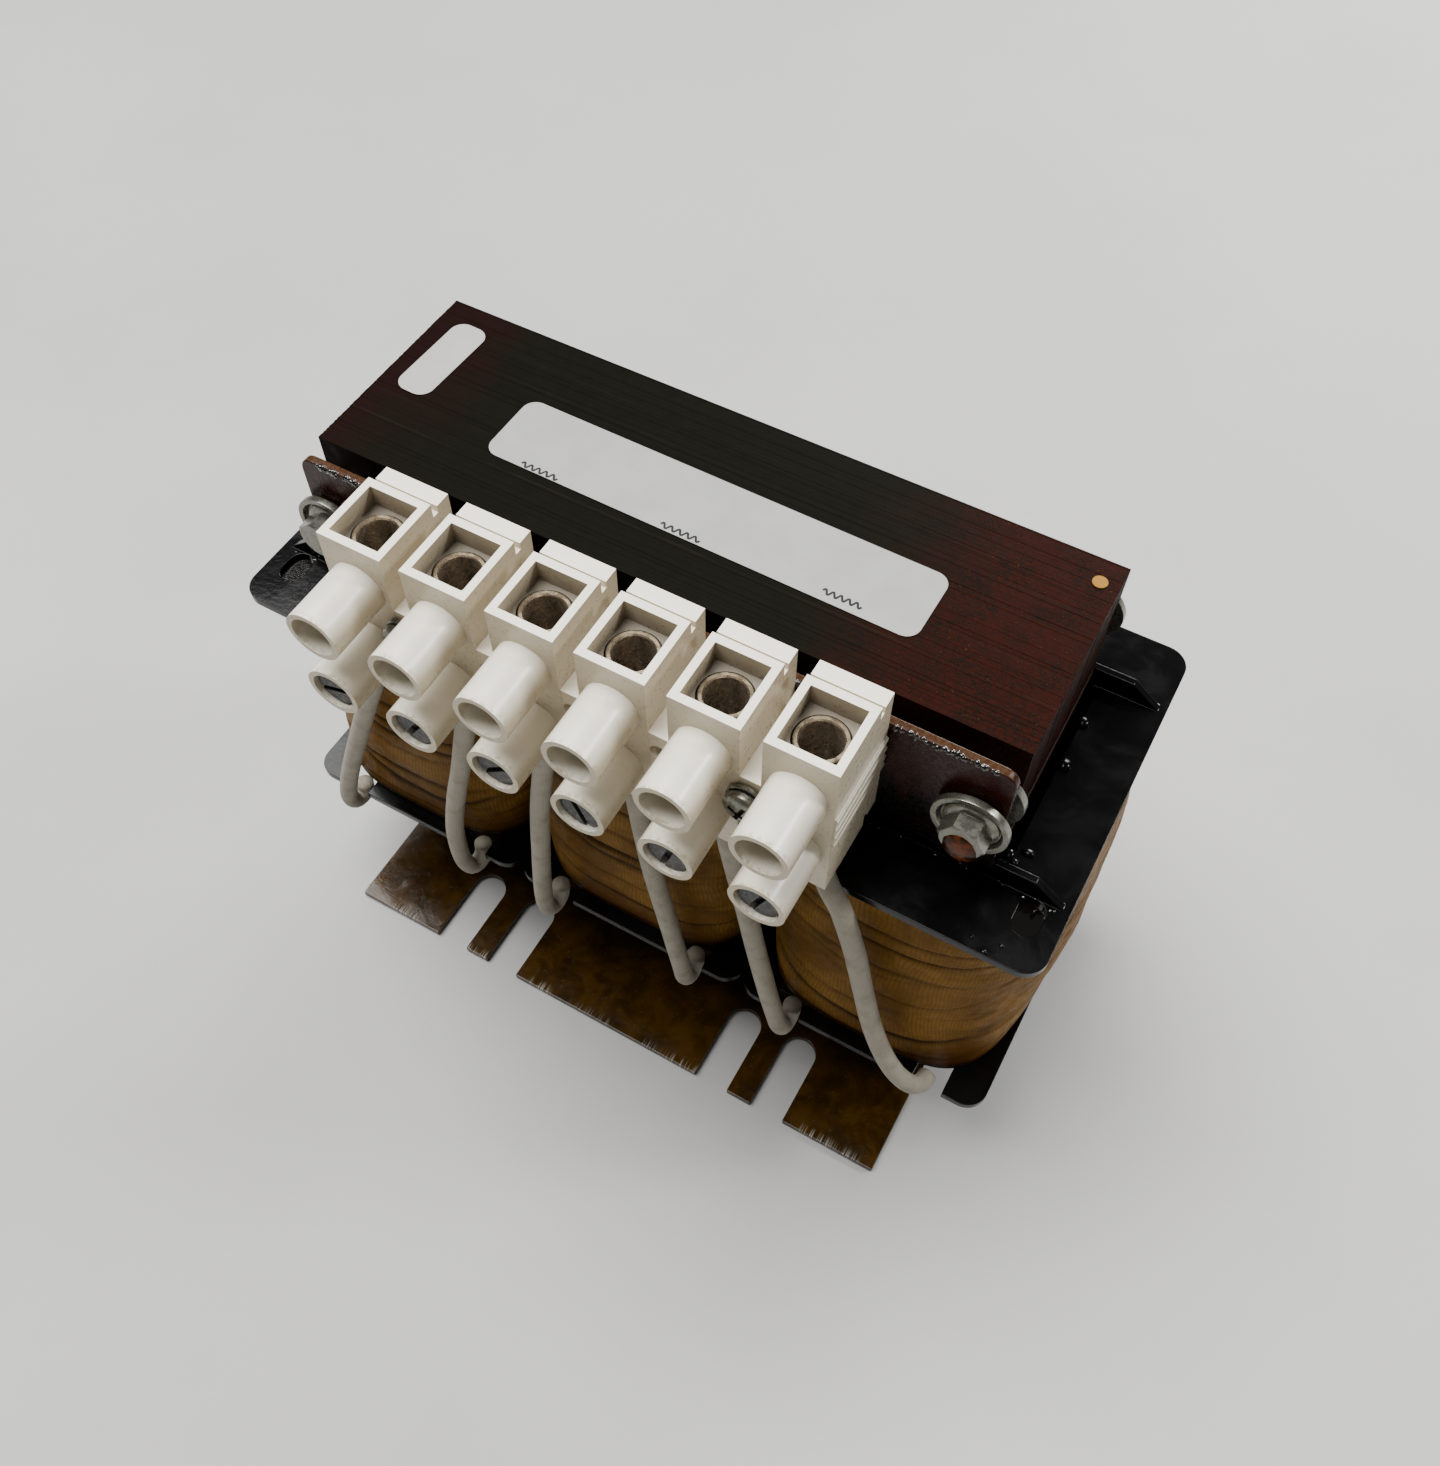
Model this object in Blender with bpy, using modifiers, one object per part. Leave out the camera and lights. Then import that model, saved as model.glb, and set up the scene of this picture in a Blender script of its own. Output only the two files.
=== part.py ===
"""Three-phase line reactor with a laminated core, three coils and a six-pole terminal strip.

X runs along the core, Y from the terminal side to the back, Z up. The origin lies on the
surface that the feet stand on, under the middle of the core.
"""

import math

import bmesh
import bpy
from mathutils import Euler, Matrix, Vector

MM = 0.001

# Clearances
SEAT_GAP = 0.3 * MM
JOIN_OVERLAP = 0.6 * MM
CUT_MARGIN = 1.0 * MM

# Core: a stack of E sheets with a stack of I sheets above the air gaps
LEG_WIDTH = 30.48 * MM
WINDOW_WIDTH = 30.48 * MM
WINDOW_HEIGHT = 76.2 * MM
YOKE_HEIGHT = 30.48 * MM
STACK_DEPTH = 47.1 * MM
AIR_GAP = 3.0 * MM
CORE_LIFT = 1.7 * MM
BOLT_INSET = 5.5 * MM

# Moulded bobbins, one on each leg
BOBBIN_CROWDING = 0.94 * MM
FLANGE_DEPTH = 84.8 * MM
FLANGE_THICKNESS = 2.0 * MM
FLANGE_CORNER = 5.0 * MM
TUBE_WALL = 2.0 * MM
BOBBIN_PLAY = 3.2 * MM
RIB_THICKNESS = 1.6 * MM
RIB_BELOW_YOKE = 1.2 * MM
RIB_TAPER = 8.0 * MM
LEAD_SLOT_SHARE = 0.525
LEAD_SLOT_PROPORTION = 0.66
LEAD_SLOT_INSET = 6.6 * MM
NOTCH_WIDTH = 7.6 * MM
NOTCH_SHARE = 0.575
NOTCH_CORNER = 1.5 * MM
NOTCH_INSET = 12.8 * MM

# Coils and the film wrapped round them
WRAP_THICKNESS = 1.5 * MM
WRAP_SIDE_MARGIN = 0.6 * MM
WRAP_FRONT_MARGIN = 2.4 * MM
WRAP_END_TUCK = 0.9 * MM
WRAP_OUTER_BULGE = 2.2 * MM
WRAP_SQUARENESS = 4.0
WRAP_OUTER_SQUARENESS = 2.7
WRAP_SIDES = 32
WRAP_ROWS = 5

# Terminal strip, cut from a longer moulding
POLE_COUNT = 6
POLE_PITCH = 18.1 * MM
POLE_WIDTH = 13.9 * MM
POLE_BOX_DEPTH = 15.4 * MM
POLE_BACK_DEPTH = 4.9 * MM
POLE_HEIGHT = 38.2 * MM
POLE_BACK_STEP = 1.7 * MM
POLE_NOTCH_WIDTH = 0.8 * MM
POLE_NOTCH_DEPTH = 1.6 * MM
STRIP_DROP = 7.9 * MM
FUNNEL_WIDTH = 10.8 * MM
FUNNEL_WALL = 1.7 * MM
FUNNEL_DEPTH = 4.7 * MM
TOWER_SPACING = 16.8 * MM
TOWER_DIAMETER = 11.2 * MM
TOWER_LENGTH = 13.8 * MM
TOWER_BORE = 8.9 * MM
WEB_HEIGHT = 10.5 * MM
WEB_HOLE = 3.9 * MM
STUB_LENGTH = 0.6 * MM
SCREWED_WEBS = (0, 4)

# Clamps and their screws
CLAMP_OUTER = 9.8 * MM
CLAMP_BORE = 8.0 * MM
CLAMP_RISE = 0.4 * MM
CLAMP_EDGE = 0.3 * MM
SCREW_HEAD = 8.2 * MM
SCREW_HEAD_DEPTH = 3.2 * MM
SCREW_HEAD_EDGE = 0.5 * MM
SCREW_SHANK = 6.0 * MM
SCREW_SLOT_WIDTH = 1.2 * MM
SCREW_SLOT_DEPTH = 1.6 * MM
LOWER_SCREW_RECESS = 0.8 * MM

# Screws that hold the strip
STRIP_SCREW_SHANK = 3.3 * MM
STRIP_SCREW_HEAD = 7.6 * MM
STRIP_SCREW_DOME = 2.6 * MM
STRIP_SCREW_RIM = 1.0 * MM
STRIP_SCREW_REACH = 1.6 * MM
LOCK_WASHER_OUTER = 8.2 * MM
LOCK_WASHER_THICKNESS = 1.0 * MM
LOCK_WASHER_SPLIT = 0.9 * MM
CROSS_WIDTH = 0.9 * MM
CROSS_LENGTH = 4.6 * MM
CROSS_DEPTH = 1.5 * MM

# Terminal bracket, a flat plate held off the top yoke
PLATE_THICKNESS = 1.9 * MM
PLATE_STANDOFF = 4.35 * MM
PLATE_CORNER = 3.0 * MM

# Foot brackets, bent from strip
FOOT_THICKNESS = 1.9 * MM
FOOT_END_INSET = 0.3 * MM
FOOT_REACH = 56.1 * MM
FOOT_WALL_RISE = 8.06 * MM
FOOT_BEND = 2.2 * MM
SLOT_WIDTH = 9.0 * MM
SLOT_LENGTH = 21.6 * MM
SLOT_CENTRES = (31.4 * MM, 47.0 * MM)

# Bolts through the yokes
BOLT_DIAMETER = 4.8 * MM
BOLT_HEX = 8.0 * MM
BOLT_HEX_HEIGHT = 4.7 * MM
BOLT_FLANGE = 11.0 * MM
BOLT_FLANGE_THICKNESS = 1.0 * MM
BOLT_EDGE = 0.6 * MM
HEX_CHAMFER = 0.7 * MM
BOLT_TAIL = 2.4 * MM
NUT_HEIGHT = 4.4 * MM
WASHER_OUTER = 15.0 * MM
WASHER_THICKNESS = 1.5 * MM
WASHER_DISH = 1.1 * MM
SPACER_COLLAR = 9.6 * MM
SPACER_FLANGE = 1.8 * MM

# Leads in sleeving, from the clamps to the notches in the bottom flanges
LEAD_DIAMETER = 4.5 * MM
LEAD_TOP = 5.0 * MM
ROUTE_POINT_COUNT = 14

# Numbers of sides on round pieces
BOLT_SIDES = 12
BORE_SIDES = 12
WASHER_SIDES = 14
ARC_STEPS = 3

# Sizes that follow from the ones above
LEG_PITCH = LEG_WIDTH + WINDOW_WIDTH
CORE_LENGTH = 3 * LEG_WIDTH + 2 * WINDOW_WIDTH
STACK_FRONT = -STACK_DEPTH / 2
STACK_BACK = STACK_DEPTH / 2
LOWER_YOKE_TOP = CORE_LIFT + YOKE_HEIGHT
LEG_TOP = LOWER_YOKE_TOP + WINDOW_HEIGHT
UPPER_YOKE_BOTTOM = LEG_TOP + AIR_GAP
CORE_TOP = UPPER_YOKE_BOTTOM + YOKE_HEIGHT
LOWER_BOLT_Z = CORE_LIFT + YOKE_HEIGHT / 2
UPPER_BOLT_Z = UPPER_YOKE_BOTTOM + YOKE_HEIGHT / 2
BOLT_X = CORE_LENGTH / 2 - BOLT_INSET
BOLT_HOLE = BOLT_DIAMETER + 2 * SEAT_GAP
FOOT_LENGTH = CORE_LENGTH - 2 * FOOT_END_INSET
FOOT_WALL_TOP = LOWER_BOLT_Z + FOOT_WALL_RISE

BORE_CLEARANCE = BOBBIN_CROWDING + SEAT_GAP
BOBBIN_PITCH = LEG_PITCH + BOBBIN_CROWDING
FLANGE_WIDTH = BOBBIN_PITCH - SEAT_GAP
BOBBIN_Y = -BOBBIN_CROWDING
BOBBIN_BOTTOM = LOWER_YOKE_TOP + SEAT_GAP
BOBBIN_TOP = LEG_TOP - BOBBIN_PLAY
BOBBIN_HEIGHT = BOBBIN_TOP - BOBBIN_BOTTOM
BORE_WIDTH = LEG_WIDTH + 2 * BORE_CLEARANCE
BORE_DEPTH = STACK_DEPTH + 2 * BORE_CLEARANCE
TUBE_WIDTH = BORE_WIDTH + 2 * TUBE_WALL
TUBE_DEPTH = BORE_DEPTH + 2 * TUBE_WALL
RIB_HEIGHT = BOBBIN_PLAY + AIR_GAP - RIB_BELOW_YOKE
FLANGE_FRONT = BOBBIN_Y - FLANGE_DEPTH / 2
FLANGE_OVERHANG = (FLANGE_DEPTH - TUBE_DEPTH) / 2
LEAD_SLOT_LENGTH = LEAD_SLOT_SHARE * FLANGE_OVERHANG
LEAD_SLOT_WIDTH = LEAD_SLOT_PROPORTION * LEAD_SLOT_LENGTH
NOTCH_DEPTH = NOTCH_SHARE * FLANGE_OVERHANG
COIL_BOTTOM = BOBBIN_BOTTOM + FLANGE_THICKNESS + SEAT_GAP
COIL_TOP = BOBBIN_TOP - FLANGE_THICKNESS - SEAT_GAP
COIL_HEIGHT = COIL_TOP - COIL_BOTTOM

PLATE_BACK = STACK_FRONT - PLATE_STANDOFF
PLATE_FRONT = PLATE_BACK - PLATE_THICKNESS
STRIP_BACK = PLATE_FRONT - SEAT_GAP
BOX_BACK = STRIP_BACK - POLE_BACK_DEPTH
STRIP_FRONT = BOX_BACK - POLE_BOX_DEPTH
STRIP_Z = CORE_TOP - STRIP_DROP
POLE_CENTRE_Y = (BOX_BACK + STRIP_FRONT) / 2
TOWER_MOUTH = STRIP_FRONT - TOWER_LENGTH
CLAMP_HALF = POLE_HEIGHT / 2 - FUNNEL_DEPTH + CLAMP_RISE
CLAMP_POCKET = CLAMP_OUTER + 2 * SEAT_GAP
CLAMP_FRONT_INNER = POLE_CENTRE_Y - CLAMP_BORE / 2
SCREW_HOLE = SCREW_SHANK + 2 * SEAT_GAP
WEB_WIDTH = POLE_PITCH - POLE_WIDTH

PARTS_NAME = "line_reactor"
CUTTERS_NAME = "cutters"
SIDES = ("left", "right")
LEGS = (("left", -1), ("centre", 0), ("right", 1))

# Each lead's route below its pole: the share of the way from the pole to its notch along X,
# millimetres behind the flanges' front edge, and the share of the fall from the strip to the
# bottom flange
LEAD_ROUTES = {
    1: [(0.062, -1.1, -0.004), (0.183, -3.1, 0.071), (0.270, -3.3, 0.156), (0.437, -3.2, 0.326),
        (0.608, -3.1, 0.508), (0.766, -3.0, 0.678), (0.911, -3.0, 0.848), (0.983, -2.9, 0.957),
        (0.991, -2.1, 1.011), (0.986, -0.1, 1.028), (0.977, 2.0, 1.016), (0.974, 2.6, 0.979)],
    2: [(0.039, -1.1, -0.004), (0.158, -3.1, 0.071), (0.266, -3.2, 0.156), (0.552, -3.1, 0.399),
        (0.803, -3.1, 0.593), (0.994, -3.1, 0.775), (1.060, -3.0, 0.909), (1.042, -2.9, 1.000),
        (0.988, -1.7, 1.050), (0.940, 0.5, 1.052), (0.916, 2.2, 1.023), (0.910, 2.6, 0.979)],
    3: [(0.073, -1.1, -0.004), (0.229, -3.1, 0.071), (0.374, -3.2, 0.156), (0.754, -3.1, 0.399),
        (1.000, -3.1, 0.642), (1.179, -3.1, 0.836), (1.257, -3.0, 0.957), (1.246, -2.7, 1.018),
        (1.212, -1.3, 1.047), (1.179, 0.7, 1.045), (1.156, 2.2, 1.019), (1.145, 2.6, 0.979)],
    4: [(0.017, -1.1, -0.004), (0.073, -3.1, 0.071), (0.117, -3.2, 0.156), (0.307, -3.1, 0.399),
        (0.598, -3.1, 0.617), (0.866, -3.1, 0.812), (1.022, -3.0, 0.933), (1.078, -2.7, 0.999),
        (1.089, -1.3, 1.034), (1.089, 0.7, 1.037), (1.089, 2.2, 1.016), (1.089, 2.6, 0.979)],
    5: [(0.063, -1.1, -0.004), (0.170, -3.1, 0.071), (0.242, -3.2, 0.156), (0.427, -3.1, 0.375),
        (0.612, -3.1, 0.593), (0.803, -3.1, 0.799), (0.934, -3.0, 0.926), (1.000, -2.7, 0.994),
        (1.030, -1.3, 1.035), (1.042, 0.7, 1.040), (1.048, 2.2, 1.018), (1.048, 2.6, 0.979)],
    6: [(0.056, -0.9, -0.009), (0.172, -3.0, 0.069), (0.276, -3.3, 0.156), (0.391, -3.2, 0.326),
        (0.481, -3.2, 0.496), (0.579, -3.3, 0.666), (0.691, -3.5, 0.797), (0.807, -3.5, 0.884),
        (0.911, -2.5, 0.938), (0.962, -0.3, 0.967), (0.974, 1.7, 0.977), (0.977, 2.6, 0.979)],
}

# Colour, roughness and metallic value of each kind of piece
FINISHES = {
    "core": ((0.045, 0.030, 0.022), 0.55, 0.4),
    "gap_board": ((0.45, 0.36, 0.22), 0.7, 0.0),
    "black_moulding": ((0.012, 0.012, 0.013), 0.35, 0.0),
    "copper": ((0.60, 0.27, 0.12), 0.35, 1.0),
    "film": ((0.22, 0.12, 0.055), 0.35, 0.0),
    "white_moulding": ((0.80, 0.78, 0.71), 0.35, 0.0),
    "nickel": ((0.45, 0.42, 0.37), 0.35, 1.0),
    "zinc": ((0.55, 0.56, 0.55), 0.35, 1.0),
    "bracket": ((0.05, 0.022, 0.014), 0.35, 0.5),
    "foot": ((0.10, 0.055, 0.012), 0.35, 0.4),
    "sleeving": ((0.46, 0.43, 0.36), 0.8, 0.0),
}


def reset_scene():
    """Removes what is in the scene and makes the two collections."""
    for item in list(bpy.data.objects):
        bpy.data.objects.remove(item, do_unlink=True)
    for name in (PARTS_NAME, CUTTERS_NAME):
        collection = bpy.data.collections.new(name)
        bpy.context.scene.collection.children.link(collection)


def make_materials():
    """One Principled material for each kind of piece."""
    materials = {}
    for name, (colour, roughness, metallic) in FINISHES.items():
        material = bpy.data.materials.new(name)
        material.use_nodes = True
        shader = material.node_tree.nodes["Principled BSDF"]
        shader.inputs["Base Color"].default_value = (*colour, 1.0)
        shader.inputs["Roughness"].default_value = roughness
        shader.inputs["Metallic"].default_value = metallic
        material.diffuse_color = (*colour, 1.0)
        materials[name] = material
    return materials


def helper(name, mesh):
    """An object in the cutters collection, hidden in renders."""
    item = bpy.data.objects.new(name, mesh)
    bpy.data.collections[CUTTERS_NAME].objects.link(item)
    item.hide_render = True
    item.display_type = "WIRE"
    return item


def box(low, high):
    """A closed block between two opposite corners."""
    mesh = bpy.data.meshes.new("block")
    shape = bmesh.new()
    bmesh.ops.create_cube(shape, size=1.0)
    low = Vector(low)
    high = Vector(high)
    bmesh.ops.scale(shape, vec=high - low, verts=shape.verts)
    bmesh.ops.translate(shape, vec=(low + high) / 2, verts=shape.verts)
    shape.to_mesh(mesh)
    shape.free()
    return helper("block", mesh)


def rod(diameter, start, end, sides=BORE_SIDES):
    """A closed cylinder between two points."""
    start = Vector(start)
    end = Vector(end)
    axis = end - start
    mesh = bpy.data.meshes.new("rod")
    shape = bmesh.new()
    bmesh.ops.create_cone(
        shape, cap_ends=True, segments=sides, radius1=diameter / 2, radius2=diameter / 2, depth=axis.length
    )
    turn = Vector((0, 0, 1)).rotation_difference(axis).to_matrix().to_4x4()
    bmesh.ops.transform(shape, matrix=Matrix.Translation((start + end) / 2) @ turn, verts=shape.verts)
    shape.to_mesh(mesh)
    shape.free()
    return helper("rod", mesh)


def mesh_from(item):
    """The evaluated mesh of an object, with close points welded."""
    bpy.context.view_layer.update()
    graph = bpy.context.evaluated_depsgraph_get()
    mesh = bpy.data.meshes.new_from_object(item.evaluated_get(graph))
    shape = bmesh.new()
    shape.from_mesh(mesh)
    bmesh.ops.remove_doubles(shape, verts=shape.verts, dist=0.00001)
    shape.to_mesh(mesh)
    shape.free()
    return mesh


def solid_from_outline(loops, thickness):
    """Fills flat closed loops in the XY plane and gives them a thickness about z = 0."""
    curve = bpy.data.curves.new("outline", "CURVE")
    curve.dimensions = "2D"
    curve.fill_mode = "BOTH"
    curve.extrude = thickness / 2
    for loop in loops:
        spline = curve.splines.new("POLY")
        spline.points.add(len(loop) - 1)
        for point, (x, y) in zip(spline.points, loop):
            point.co = (x, y, 0.0, 1.0)
        spline.use_cyclic_u = True
    flat = helper("outline", curve)
    solid = helper("outline_solid", mesh_from(flat))
    bpy.data.objects.remove(flat, do_unlink=True)
    return solid


def turned(profile, sides):
    """Turns a profile of (radius, z) points, top to bottom on its outer side, about Z."""
    mesh = bpy.data.meshes.new("profile")
    edges = [(i, i + 1) for i in range(len(profile) - 1)]
    mesh.from_pydata([(radius, 0.0, z) for radius, z in profile], edges, [])
    lathe = helper("profile", mesh)
    screw = lathe.modifiers.new("screw", "SCREW")
    screw.axis = "Z"
    screw.steps = sides
    screw.render_steps = sides
    screw.use_merge_vertices = True
    screw.merge_threshold = 0.00001
    solid = helper("turned", mesh_from(lathe))
    bpy.data.objects.remove(lathe, do_unlink=True)
    return solid


def place(item, location=(0, 0, 0), rotation=(0, 0, 0)):
    """Moves the object's mesh by a rotation in degrees and a location."""
    turn = Euler([math.radians(angle) for angle in rotation]).to_matrix().to_4x4()
    item.data.transform(Matrix.Translation(location) @ turn)
    return item


def combine(target, tools, operation):
    """Applies a Boolean with each tool in turn, and removes the tools."""
    for tool in tools:
        modifier = target.modifiers.new("boolean", "BOOLEAN")
        modifier.operation = operation
        modifier.solver = "EXACT"
        modifier.object = tool
        mesh = mesh_from(target)
        target.modifiers.clear()
        target.data = mesh
        bpy.data.objects.remove(tool, do_unlink=True)
    return target


def cut(target, *tools):
    """Takes the tools' volumes out of the target."""
    return combine(target, tools, "DIFFERENCE")


def join(target, *tools):
    """Adds the tools' volumes to the target."""
    return combine(target, tools, "UNION")


def piece(name, source, material, location=(0, 0, 0)):
    """Makes a part from a finished helper, or from the mesh of a part made before."""
    mesh = source.data
    if source.name in bpy.data.collections[CUTTERS_NAME].objects:
        bpy.data.objects.remove(source, do_unlink=True)
        mesh.name = name
        mesh.materials.clear()
        mesh.materials.append(material)
        mesh.shade_smooth()
        mesh.set_sharp_from_angle(angle=math.radians(40))
    part = bpy.data.objects.new(name, mesh)
    part.location = location
    bpy.data.collections[PARTS_NAME].objects.link(part)
    return part


def arc(centre, radius, start, end, steps=ARC_STEPS):
    """Points on an arc, from one angle to another in degrees."""
    points = []
    for i in range(steps + 1):
        angle = math.radians(start + (end - start) * i / steps)
        points.append((centre[0] + radius * math.cos(angle), centre[1] + radius * math.sin(angle)))
    return points


def rounded_rectangle(width, depth, radius, steps=ARC_STEPS):
    """A rectangle about the origin with round corners, counter-clockwise."""
    x = width / 2 - radius
    y = depth / 2 - radius
    points = []
    for sign_x, sign_y, start in ((1, 1, 0), (-1, 1, 90), (-1, -1, 180), (1, -1, 270)):
        points += arc((sign_x * x, sign_y * y), radius, start, start + 90, steps)
    return points


def squared_oval(left, right, half_depth):
    """The plan of a wound coil: an oval with nearly flat sides, each given as (half width, squareness)."""
    points = []
    for i in range(WRAP_SIDES):
        angle = 2 * math.pi * (i + 0.5) / WRAP_SIDES
        cosine = math.cos(angle)
        sine = math.sin(angle)
        half_width, squareness = right if cosine > 0 else left
        x = half_width * math.copysign(abs(cosine) ** (2 / squareness), cosine)
        y = half_depth * math.copysign(abs(sine) ** (2 / squareness), sine)
        points.append((x, y))
    return points


def build_core(materials):
    """The E stack, the I stack above it, and the boards in the three air gaps."""
    e_stack = box((-CORE_LENGTH / 2, STACK_FRONT, CORE_LIFT), (CORE_LENGTH / 2, STACK_BACK, LEG_TOP))
    for side in (-1, 1):
        inner = side * LEG_WIDTH / 2
        outer = side * (LEG_WIDTH / 2 + WINDOW_WIDTH)
        window = box(
            (min(inner, outer), STACK_FRONT - CUT_MARGIN, LOWER_YOKE_TOP),
            (max(inner, outer), STACK_BACK + CUT_MARGIN, LEG_TOP + CUT_MARGIN),
        )
        cut(e_stack, window, bolt_hole(side * BOLT_X, LOWER_BOLT_Z))
    piece("core_e_stack", e_stack, materials["core"])

    half = CORE_LENGTH / 2
    i_yoke = box((-half, STACK_FRONT, UPPER_YOKE_BOTTOM), (half, STACK_BACK, CORE_TOP))
    for side in (-1, 1):
        cut(i_yoke, bolt_hole(side * BOLT_X, UPPER_BOLT_Z))
    piece("core_i_yoke", i_yoke, materials["core"])

    half = Vector((LEG_WIDTH, STACK_DEPTH, AIR_GAP - 2 * SEAT_GAP)) / 2
    board = None
    for leg, side in LEGS:
        source = board or box(-half, half)
        middle = (side * LEG_PITCH, 0, LEG_TOP + AIR_GAP / 2)
        board = piece(f"gap_spacer_{leg}", source, materials["gap_board"], middle)


def bolt_hole(x, z):
    """A cutter along Y for a bolt through a yoke."""
    return rod(BOLT_HOLE, (x, STACK_FRONT - CUT_MARGIN, z), (x, STACK_BACK + CUT_MARGIN, z), BOLT_SIDES)


def flange():
    """A blank flange in the XY plane, with round outer corners."""
    outline = rounded_rectangle(FLANGE_WIDTH, FLANGE_DEPTH, FLANGE_CORNER)
    return solid_from_outline([outline], FLANGE_THICKNESS)


def lead_slot(side):
    """A cutter for the round-ended slot that lets a lead through the top flange."""
    radius = LEAD_SLOT_WIDTH / 2
    x = side * (FLANGE_WIDTH / 2 - LEAD_SLOT_INSET)
    back = -TUBE_DEPTH / 2 - SEAT_GAP - radius
    front = back - (LEAD_SLOT_LENGTH - LEAD_SLOT_WIDTH)
    outline = arc((x, back), radius, 0, 180) + arc((x, front), radius, 180, 360)
    return place(solid_from_outline([outline], 3 * FLANGE_THICKNESS), (0, 0, BOBBIN_HEIGHT))


def lead_notch(side):
    """A cutter for the open notch at the front edge of the bottom flange."""
    x = side * (FLANGE_WIDTH / 2 - NOTCH_INSET)
    half = NOTCH_WIDTH / 2
    front = -FLANGE_DEPTH / 2
    corner = NOTCH_CORNER
    back = front + NOTCH_DEPTH - corner
    outline = [(x - half, front - CUT_MARGIN), (x + half, front - CUT_MARGIN)]
    outline += arc((x + half - corner, back), corner, 0, 90, 3)
    outline += arc((x - half + corner, back), corner, 90, 180, 3)
    return solid_from_outline([outline], 3 * FLANGE_THICKNESS)


def locating_rib(side):
    """A rib beside the stack on the top flange, full height in the window and tapered outside it."""
    half = FLANGE_WIDTH / 2
    buried = FLANGE_THICKNESS / 2
    outline = [
        (-half + JOIN_OVERLAP, -buried), (half - JOIN_OVERLAP, -buried), (half - RIB_TAPER, RIB_HEIGHT),
        (-half + RIB_TAPER, RIB_HEIGHT),
    ]
    y = side * (TUBE_DEPTH - RIB_THICKNESS) / 2
    return place(solid_from_outline([outline], RIB_THICKNESS), (0, y, BOBBIN_HEIGHT), (90, 0, 0))


def build_bobbins(materials):
    """Three equal mouldings: a square tube round the leg between two flanges."""
    middle = FLANGE_THICKNESS / 2
    bobbin = place(flange(), (0, 0, middle))
    tube_outline = rounded_rectangle(TUBE_WIDTH, TUBE_DEPTH, TUBE_WALL, 2)
    wall = solid_from_outline([tube_outline], BOBBIN_HEIGHT - 2 * middle)
    join(bobbin, place(wall, (0, 0, BOBBIN_HEIGHT / 2)))
    join(bobbin, place(flange(), (0, 0, BOBBIN_HEIGHT - middle)))
    join(bobbin, locating_rib(-1), locating_rib(1))
    half = (BORE_WIDTH / 2, BORE_DEPTH / 2)
    bore = box((-half[0], -half[1], -CUT_MARGIN), (half[0], half[1], BOBBIN_HEIGHT + CUT_MARGIN))
    cut(bobbin, bore)
    for side in (-1, 1):
        cut(bobbin, lead_slot(side), lead_notch(side))
    source = bobbin
    for leg, side in LEGS:
        place_at = (side * BOBBIN_PITCH, BOBBIN_Y, BOBBIN_BOTTOM)
        source = piece(f"bobbin_{leg}", source, materials["black_moulding"], place_at)


def coil_outline(side, growth, bulge):
    """The coil's plan, with a side that bulges past the flange where no other coil is beside it."""
    half_width = FLANGE_WIDTH / 2 - WRAP_SIDE_MARGIN
    squareness = WRAP_SQUARENESS + (WRAP_OUTER_SQUARENESS - WRAP_SQUARENESS) * bulge
    inner = (half_width + growth, WRAP_SQUARENESS)
    outer = (half_width + growth + (WRAP_SIDE_MARGIN + WRAP_OUTER_BULGE) * bulge, squareness)
    left = outer if side < 0 else inner
    right = outer if side > 0 else inner
    return squared_oval(left, right, FLANGE_DEPTH / 2 - WRAP_FRONT_MARGIN + growth)


def wrap_shell(side):
    """The film round one coil: a ring of bulging sections with a straight inner wall."""
    inner = coil_outline(side, -WRAP_END_TUCK - WRAP_THICKNESS, 0.0)
    shape = bmesh.new()
    rows = [[shape.verts.new((x, y, 0.0)) for x, y in inner]]
    for row in range(WRAP_ROWS):
        share = row / (WRAP_ROWS - 1)
        swell = math.sin(math.pi * share) ** 0.7 if 0 < row < WRAP_ROWS - 1 else 0.0
        outline = coil_outline(side, -WRAP_END_TUCK * (1 - swell), swell)
        rows.append([shape.verts.new((x, y, share * COIL_HEIGHT)) for x, y in outline])
    rows.append([shape.verts.new((x, y, COIL_HEIGHT)) for x, y in inner])
    for lower, upper in zip(rows, rows[1:] + rows[:1]):
        for i in range(WRAP_SIDES):
            j = (i + 1) % WRAP_SIDES
            shape.faces.new((lower[i], lower[j], upper[j], upper[i]))
    mesh = bpy.data.meshes.new("wrap")
    shape.to_mesh(mesh)
    shape.free()
    return helper("wrap", mesh)


def build_coils(materials):
    """The copper windings and the film round them."""
    hollow = rounded_rectangle(TUBE_WIDTH + 2 * SEAT_GAP, TUBE_DEPTH + 2 * SEAT_GAP, TUBE_WALL, 2)
    growth = -WRAP_END_TUCK - WRAP_THICKNESS - SEAT_GAP
    for leg, side in LEGS:
        middle = (side * BOBBIN_PITCH, BOBBIN_Y, COIL_BOTTOM)
        winding = solid_from_outline([coil_outline(side, growth, 0.0), hollow], COIL_HEIGHT)
        piece(f"winding_{leg}", place(winding, (0, 0, COIL_HEIGHT / 2)), materials["copper"], middle)
        piece(f"coil_wrap_{leg}", wrap_shell(side), materials["film"], middle)


def pole_x(number):
    """The middle of a pole, counted from 0 at the left."""
    return (number - (POLE_COUNT - 1) / 2) * POLE_PITCH


def web_x(number):
    """The middle of the web after a pole."""
    return pole_x(number) + POLE_PITCH / 2


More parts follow.
